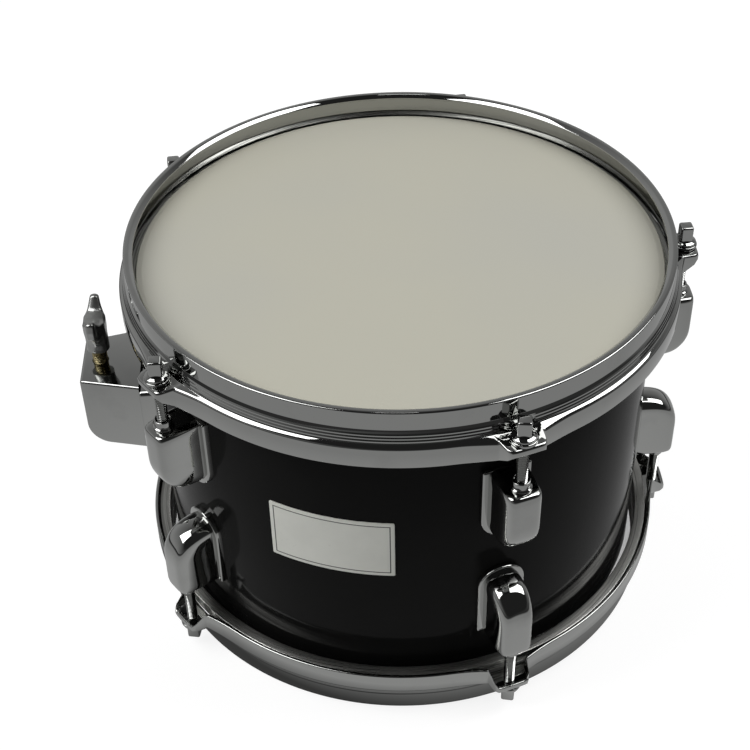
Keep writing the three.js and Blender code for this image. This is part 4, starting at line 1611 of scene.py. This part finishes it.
@dataclass
class StandBracket(Assembly):
    """The cast bracket that holds the drum on a stand's arm."""

    centre: float = 106.5
    root: float = 127.3
    foot_reach: float = 7.4
    foot_half: float = 26.5
    foot_height: float = 37.0
    foot_corner: float = 2.5
    gap: float = 0.06
    reach: float = 38.0
    height: float = 41.0
    root_half: float = 24.5
    nose_half: float = 17.0
    corner: float = 11.0
    edge: float = 1.3
    socket: float = 11.4
    socket_drop: float = 2.5
    clamp_reach: float = 28.5
    clamp_length: float = 17.0
    clamp_width: float = 16.0
    clamp_top: float = 14.12
    bolt_radius: float = 3.9
    screw_spread: float = 37.0
    screw_rise: float = 22.0
    plate_width: float = 50.0
    plate_height: float = 34.0
    plate_thickness: float = 2.0
    plate_corner: float = 3.0
    plate_strips: int = 20
    wall: float = 7.5

    def build(self) -> None:
        """Builds the foot, the housing, the backing plate and the screws."""
        at = self.layout.spoke(self.layout.drum, self.layout.bracket_azimuth, self.centre)
        chrome, steel = Chrome("bracket_chrome", gloss=0.06, haze=0.09), PlatedSteel("plain_steel")
        for form, name, finish, slot, node in (
            (self._foot(), "bracket_foot_plate", chrome, "bracket_chrome", "bracket_foot"),
            (self._housing(), "bracket_cast_housing", chrome, "bracket_chrome", "bracket_housing"),
            (self._backing_plate(), "bracket_inner_plate", steel, "plain_steel", "bracket_backing_plate"),
        ):
            self.seat(form.piece(name, at, 35, finish), "drum", slot, node)
        screw = Screw().form()
        seat = self.layout.shell_radius - self.wall - self.plate_thickness - 0.35
        depth = math.sqrt(seat**2 - (self.screw_spread / 2 + 3) ** 2)
        aside, up = self.screw_spread / 2, self.screw_rise / 2
        places = [(x * aside, z * up) for x in (-1, 1) for z in (-1, 1)]
        for number, (y, z) in enumerate(places, 1):
            inside = Matrix.Translation((depth, y, z)) @ Matrix.Rotation(-math.pi / 2, 4, "Y")
            made = screw.copy().piece(f"bracket_inner_screw_{number}", at @ inside, 35, steel)
            self.seat(made, "drum", "plain_steel", f"bracket_screw_{number}")
        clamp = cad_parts["clamp_block"]
        clamp.data.materials.clear()
        clamp.data.materials.append(steel.material())

    def _bore(self) -> Form:
        """Turns the cutter for the socket."""
        bore = Form.bar(self.socket, self.root - 30, self.root + 60, 96)
        return bore.moved(Matrix.Translation((0, 0, -self.socket_drop)) @ OUTWARD)

    def _foot(self) -> Form:
        """Builds the foot, hollowed to the curve of the shell."""
        outline = rectangle(self.foot_half, self.foot_height / 2, self.foot_corner)
        front = self.root + self.foot_reach
        foot = Form.prism(outline, self.root - 8, front)
        foot.bevelled(1.0, 4, on_level(front))
        foot.moved(Matrix(((0, 0, 1, 0), (1, 0, 0, 0), (0, 1, 0, 0), (0, 0, 0, 1))))
        return foot.carved(Form.bar(self.layout.shell_at(0), -60, 60, 360), self._bore())

    def _housing(self) -> Form:
        """Builds the housing, with its socket, its clamp's pocket and the bolt's hole."""
        back, nose = self.root + self.foot_reach + self.gap, self.root + self.reach
        high = self.height / 2
        corners = [(back, -high, 0), (nose, -high, self.corner), (nose, high, 1.6), (back, high, 0)]
        outline = rounded_path(corners, steps=10)
        housing = Form.prism(outline, -1, 1)

        def tapered(point: Vector) -> Vector:
            """Stands a point of the outline up and gives the housing its taper.

            Args:
                point: The point, with its side in z.

            Returns:
                Its new place.
            """
            share = (point.x - back) / (nose - back)
            half = self.root_half + (self.nose_half - self.root_half) * share
            return Vector((point.x, half * point.z, point.y))

        housing.reshaped(tapered).closed_up()
        rim = set()
        for face in housing.mesh.faces:
            if abs(face.normal.y) > 0.9:
                for edge in face.edges:
                    near, far = sorted(vert.co.x for vert in edge.verts)
                    if near > back + 0.1 or far - near > 1:
                        rim.add(edge)
        housing.bevelled(self.edge, 5, lambda edge: edge in rim)
        clamp = self.root + self.clamp_reach
        half_x, half_y = self.clamp_length / 2 + 0.3, self.clamp_width / 2 + 0.3
        pocket = Form.prism(rectangle(half_x, half_y, 0.8, clamp), -self.socket_drop, self.clamp_top + 0.3)
        hole = Form.bar(self.bolt_radius + 0.4, 0, 40, 48).moved(Matrix.Translation((clamp, 0, 0)))
        return housing.carved(self._bore(), pocket, hole)

    def _backing_plate(self) -> Form:
        """Builds the curved plate inside the shell."""
        outline = rectangle(self.plate_width / 2, self.plate_height / 2, self.plate_corner)
        plate = Form.prism(outline, 0, self.plate_thickness)
        for i in range(1, self.plate_strips):
            plate.cut(((-0.5 + i / self.plate_strips) * self.plate_width, 0, 0), (1, 0, 0))
        outer = self.layout.shell_radius - self.wall - 0.1

        def curved(point: Vector) -> Vector:
            """Bends a point of the flat plate to the shell's inside."""
            reach = math.sqrt(outer**2 - point.x**2) - self.plate_thickness + point.z
            return Vector((reach, point.x, point.y))

        return plate.reshaped(curved)


@dataclass
class WingBolt(Assembly):
    """The wing bolt on top of the bracket."""

    centre: float = 106.5
    root: float = 127.3
    clamp_reach: float = 28.5
    bracket_half: float = 20.5
    stand_out: float = 8.3
    radius: float = 3.9
    tip: float = -21.18
    tip_radius: float = 2.9
    neck: float = -14.38
    pitch: float = 1.25
    thread_depth: float = 0.6
    hub_radius: float = 5.8
    hub_height: float = 18.0
    wing_height: float = 25.0
    wing_half_span: float = 14.5
    tip_thickness: float = 4.7
    shoulder_thickness: float = 11.2
    shoulder_half: float = 3.6
    leaf_reach: float = 7.9
    leaf_power: float = 1.1
    leaf_start: float = 5.0
    leaf_blend: float = 8.0
    foot_level: float = 0.4
    thinnest: float = 0.06
    edge_round: float = 1.6
    edge_steps: tuple[float, ...] = (0.05, 0.12, 0.25, 0.45, 0.7)
    cell: float = 0.8
    cell_start: float = 0.05
    cell_range: tuple[int, int] = (-18, 45)

    def build(self) -> None:
        """Builds the bolt: a threaded shank with a cast wing handle."""
        at = self.layout.spoke(self.layout.drum, self.layout.bracket_azimuth, self.centre)
        at = at @ Matrix.Translation((self.root + self.clamp_reach, 0, self.bracket_half + self.stand_out))
        turned = at @ Matrix.Rotation(math.pi / 2, 4, "Z")
        handle = self._handle().piece("wing_bolt_handle", turned, 40, Chrome("wing_chrome", gloss=0.3))
        self.seat(handle, "wing", "wing_bolt_steel", "wing_bolt")
        yellow = PlatedSteel("yellow_zinc", (0.42, 0.36, 0.20), (0.22, 0.19, 0.11), 0.22)
        thread = self._shank().piece("wing_bolt_thread", at, 32, yellow)
        self.seat(thread, "wing", "wing_bolt_steel")

    def _shank(self) -> Form:
        """Builds the threaded shank, with the handle's foot at z = 0."""
        shank = Form.thread(self.radius, self.thread_depth, self.pitch, self.neck, 0.4)
        return shank.with_form(Form.bar(self.tip_radius, self.tip, self.neck + 0.3, 32))

    def _handle(self) -> Form:
        """Builds the handle in one piece: a round hub that spreads into two wings along X."""
        span, high, hub = self.wing_half_span, self.wing_height, self.hub_radius
        half = [
            (hub - 0.5, 0, 0.5),
            (hub - 0.1, 5.0, 3.0),
            (hub + 3.6, 11.0, 4.0),
            (span - 0.7, 15.0, 3.0),
            (span, 20.0, 3.0),
            (span - 0.9, high, 1.6),
            (span - 3.9, high, 1.6),
            (hub + 0.4, self.hub_height + 1.6, 4.0),
        ]
        outline = [*half, (0, self.hub_height, 6.0), *((-x, z, corner) for x, z, corner in reversed(half))]
        rim = rounded_path(outline, steps=6)
        form = Form()
        face = form.mesh.faces.new([form.mesh.verts.new((x, 0, z)) for x, z in rim])
        for step in self.edge_steps:
            bmesh.ops.inset_region(form.mesh, faces=[face], thickness=step, use_boundary=True)
        for i in range(*self.cell_range):
            for along in (Vector((1, 0, 0)), Vector((0, 0, 1))):
                form.cut(along * (self.cell * i + self.cell_start), along)
        sheet = bmesh.ops.extrude_face_region(form.mesh, geom=form.mesh.faces[:])["geom"]
        far = {part for part in sheet if isinstance(part, bmesh.types.BMVert)}
        for vert in form.mesh.verts:
            side = 1 if vert in far else -1
            vert.co.y = side * self._half_thickness(vert.co.x, vert.co.z, rim)
        return form.closed_up()

    def _half_thickness(self, x: float, z: float, rim: Sequence[Point]) -> float:
        """Half the handle's thickness at a point of its middle plane.

        Args:
            x: The point's distance from the hub's axis.
            z: Its height over the foot.
            rim: The handle's outline.

        Returns:
            The half thickness.
        """
        here = Vector((x, z))
        away = self.edge_round
        for (x0, z0), (x1, z1) in zip(rim, [*rim[1:], rim[0]]):
            if max(z0, z1) < self.foot_level:
                continue
            start, way = Vector((x0, z0)), Vector((x1 - x0, z1 - z0))
            share = min(1.0, max(0.0, (here - start).dot(way) / max(way.dot(way), 1e-9)))
            away = min(away, (here - start - way * share).length)
        rounding = math.sqrt(max(0.0, 1 - (1 - away / self.edge_round) ** 2))
        round_hub = math.sqrt(max(0.3, self.hub_radius**2 - x * x))
        inward = min(1.0, max(0.0, 1 - (abs(x) - self.shoulder_half) / self.leaf_reach))
        spare = (self.shoulder_thickness - self.tip_thickness) / 2
        leaf = self.tip_thickness / 2 + spare * inward**self.leaf_power
        upper = smooth_share((z - self.leaf_start) / self.leaf_blend)
        return (round_hub + (leaf - round_hub) * upper) * (self.thinnest + (1 - self.thinnest) * rounding)


# ---- studio ----


@dataclass
class Studio:
    """The pale floor, the soft lights and the photograph's camera. None of it belongs to the drum."""

    layout: Layout
    picture: float = 750.0
    focal: float = 1461.72
    distance: float = 719.57
    elevation: float = 0.6077
    yaw: float = 0.0179
    pitch: float = -0.094
    roll: float = 0.0118
    centre: Point = (-0.447, -6.98)
    level: float = 199.64
    table_tone: float = 0.40
    # The floor that mirrored rays see: painted shadow under the drum, a painted pool of light round it,
    # painted fall-off far out.
    painted_shadow_tone: float = 0.15
    painted_shadow_reach: tuple[float, float] = (0.134, 0.156)
    painted_light_tone: float = 1.3
    painted_light_reach: tuple[float, float] = (0.17, 0.34)
    painted_falloff_tone: float = 0.12
    painted_falloff_reach: tuple[float, float] = (0.5, 0.95)
    mirrored_share: float = 0.66
    dawn: float = 0.62
    dusk: float = 0.04
    dusk_side: Corner = (0.35, -0.75, 1)
    dusk_range: tuple[float, float] = (-0.3, 0.85)
    sensor: float = 36.0
    floor_half: float = 6000.0
    floor_grey: float = 0.6
    lit_grey: float = 0.24
    glow: float = 0.86
    lamp_distance: float = 1.35
    lamp_aim: float = 0.15

    def build(self) -> None:
        """Builds the floor, lights, world and camera."""
        self._floor()
        self._world()
        self._lamps()
        self._camera()

    def _camera(self) -> None:
        """Sets the camera to the photograph's view."""
        ahead = Vector((0, math.cos(self.elevation), -math.sin(self.elevation)))
        right = Vector((1, 0, 0))
        up = right.cross(ahead)
        turn = Matrix.Rotation(self.yaw, 3, up)
        ahead, right = turn @ ahead, turn @ right
        turn = Matrix.Rotation(self.pitch, 3, right)
        ahead, up = turn @ ahead, turn @ up
        turn = Matrix.Rotation(self.roll, 3, ahead)
        right, up = turn @ right, turn @ up
        back, high = math.cos(self.elevation), math.sin(self.elevation)
        place = Vector((0, -self.distance * back, self.distance * high))
        about = Matrix.Rotation(math.radians(self.layout.front + 90), 4, "Z")
        stand = self.layout.drum @ Matrix.Translation((0, 0, self.level)) @ about
        lens = bpy.data.cameras.new("camera")
        lens.sensor_width = self.sensor
        lens.lens = self.focal / self.picture * self.sensor
        lens.shift_x = -self.centre[0] / self.picture
        lens.shift_y = self.centre[1] / self.picture
        lens.clip_start, lens.clip_end = 0.01, 100
        camera = bpy.data.objects.new("camera", lens)
        basis = Matrix((right, up, -ahead)).transposed().to_4x4()
        pose = stand @ Matrix.Translation(place) @ basis
        pose.translation = pose.translation * METRES
        camera.matrix_world = pose
        bpy.context.scene.collection.objects.link(camera)
        bpy.context.scene.camera = camera

    def _floor(self) -> None:
        """Lays a floor that is white to the camera and grey to mirrored rays, with painted shadow under the
        drum, a painted pool of light round it and painted fall-off far out.
        """
        form = Form()
        bmesh.ops.create_grid(form.mesh, x_segments=1, y_segments=1, size=self.floor_half)
        paint = Paint(bpy.data.materials.new("studio_floor"))
        path = paint.node("ShaderNodeLightPath").outputs
        seen = Value(paint, path["Is Camera Ray"]) + Value(paint, path["Is Transmission Ray"])
        away = paint.off_axis(paint.node("ShaderNodeTexCoord").outputs["Object"])
        # Painted shadow under the drum, seen only in mirrored rays.
        under = paint.spread(away, self.painted_shadow_tone, 1, *self.painted_shadow_reach)
        # Painted pool of light round the drum, seen only in mirrored rays.
        painted_light = paint.spread(away, self.painted_light_tone, 1, *self.painted_light_reach)
        # Painted fall-off of light farther out, seen only in mirrored rays.
        beyond = paint.spread(away, 1, self.painted_falloff_tone, *self.painted_falloff_reach)
        # The glow that mirrored rays see, with its painted shadow, painted light and painted fall-off.
        tone = under * painted_light * beyond * self.table_tone
        plain, lit = (
            paint.node("ShaderNodeBsdfDiffuse", {"Color": (grey, grey, grey, 1)}).outputs["BSDF"]
            for grey in (self.floor_grey, self.lit_grey)
        )
        glow, painted_glow = (
            paint.node("ShaderNodeEmission", {"Strength": strength}).outputs["Emission"]
            for strength in (self.glow, tone)
        )
        white = paint.node("ShaderNodeAddShader", {0: lit, 1: glow}).outputs["Shader"]
        both = paint.node("ShaderNodeMixShader", {0: seen, 1: plain, 2: white}).outputs["Shader"]
        full = paint.node("ShaderNodeMixShader", {0: path["Is Glossy Ray"], 1: both, 2: painted_glow})
        paint.node("ShaderNodeOutputMaterial", {"Surface": full.outputs["Shader"]})
        lying = form.moved(Matrix.Scale(METRES, 4)).set_down("floor")
        form.mesh.free()
        lying.data.materials.append(paint.owner)

    def _world(self) -> None:
        """Sets a surround that is pale behind the drum and dim overhead and round the camera."""
        world = bpy.data.worlds.new("studio")
        bpy.context.scene.world = world
        paint = Paint(world)
        where = paint.node("ShaderNodeTexCoord").outputs["Generated"]
        lean = paint.node("ShaderNodeVectorMath", {0: where, 1: self.dusk_side}, operation="DOT_PRODUCT")
        rise = paint.spread(Value(paint, lean.outputs["Value"]), self.dawn, self.dusk, *self.dusk_range)
        path = paint.node("ShaderNodeLightPath").outputs
        seen: Any = rise
        for ray, other in (("Is Glossy Ray", rise * self.mirrored_share), ("Is Camera Ray", 1.0)):
            made = paint.node("ShaderNodeMix", {"Factor": path[ray], "A": seen, "B": other})
            seen = made.outputs["Result"]
        shade = paint.node("ShaderNodeBackground", {"Color": (1, 1, 1, 1), "Strength": seen})
        paint.node("ShaderNodeOutputWorld", {"Surface": shade.outputs[0]})

    def _lamps(self) -> None:
        """Hangs the soft boxes."""
        for name, azimuth, elevation, size, radiance in (
            ("left_box", -168.0, 52.0, (0.68, 1.05), 4.9),
            ("right_box", 6.0, 52.0, (0.68, 1.05), 4.9),
            ("top_box", 90.0, 84.0, (0.16, 0.16), 3.0),
        ):
            around, up = math.radians(azimuth), math.radians(elevation)
            way = Vector((math.cos(up) * math.cos(around), math.cos(up) * math.sin(around), math.sin(up)))
            lamp = bpy.data.lights.new(name, "AREA")
            lamp.shape = "RECTANGLE"
            lamp.size, lamp.size_y = size
            lamp.energy = radiance * math.pi * size[0] * size[1]
            hung = bpy.data.objects.new(name, lamp)
            hung.location = Vector((0, 0, self.lamp_aim)) + way * self.lamp_distance
            hung.rotation_mode = "QUATERNION"
            hung.rotation_quaternion = way.to_track_quat("Z", "Y")
            hung.visible_camera = False
            bpy.context.scene.collection.objects.link(hung)


# ---- the whole scene ----


def assemblies(layout: Layout) -> Iterable[Assembly]:
    """The drum's sub-assemblies, in the order in which they are built.

    Args:
        layout: The drum's layout.

    Yields:
        Each sub-assembly.
    """
    yield Shell(layout)
    yield Badge(layout)
    yield Vent(layout)
    for end in End:
        yield Head(layout, end)
        yield Hoop(layout, end)
        yield TensionRods(layout, end)
        yield Lugs(layout, end)
    yield StandBracket(layout)
    yield WingBolt(layout)


def main() -> None:
    """Builds the studio and every piece of the drum."""
    logging.basicConfig(level=logging.INFO, format="%(name)s: %(message)s")
    bpy.context.scene.view_settings.view_transform = "Standard"
    layout = Layout()
    Studio(layout).build()
    for assembly in assemblies(layout):
        assembly.build()


if __name__ == "__main__":
    main()
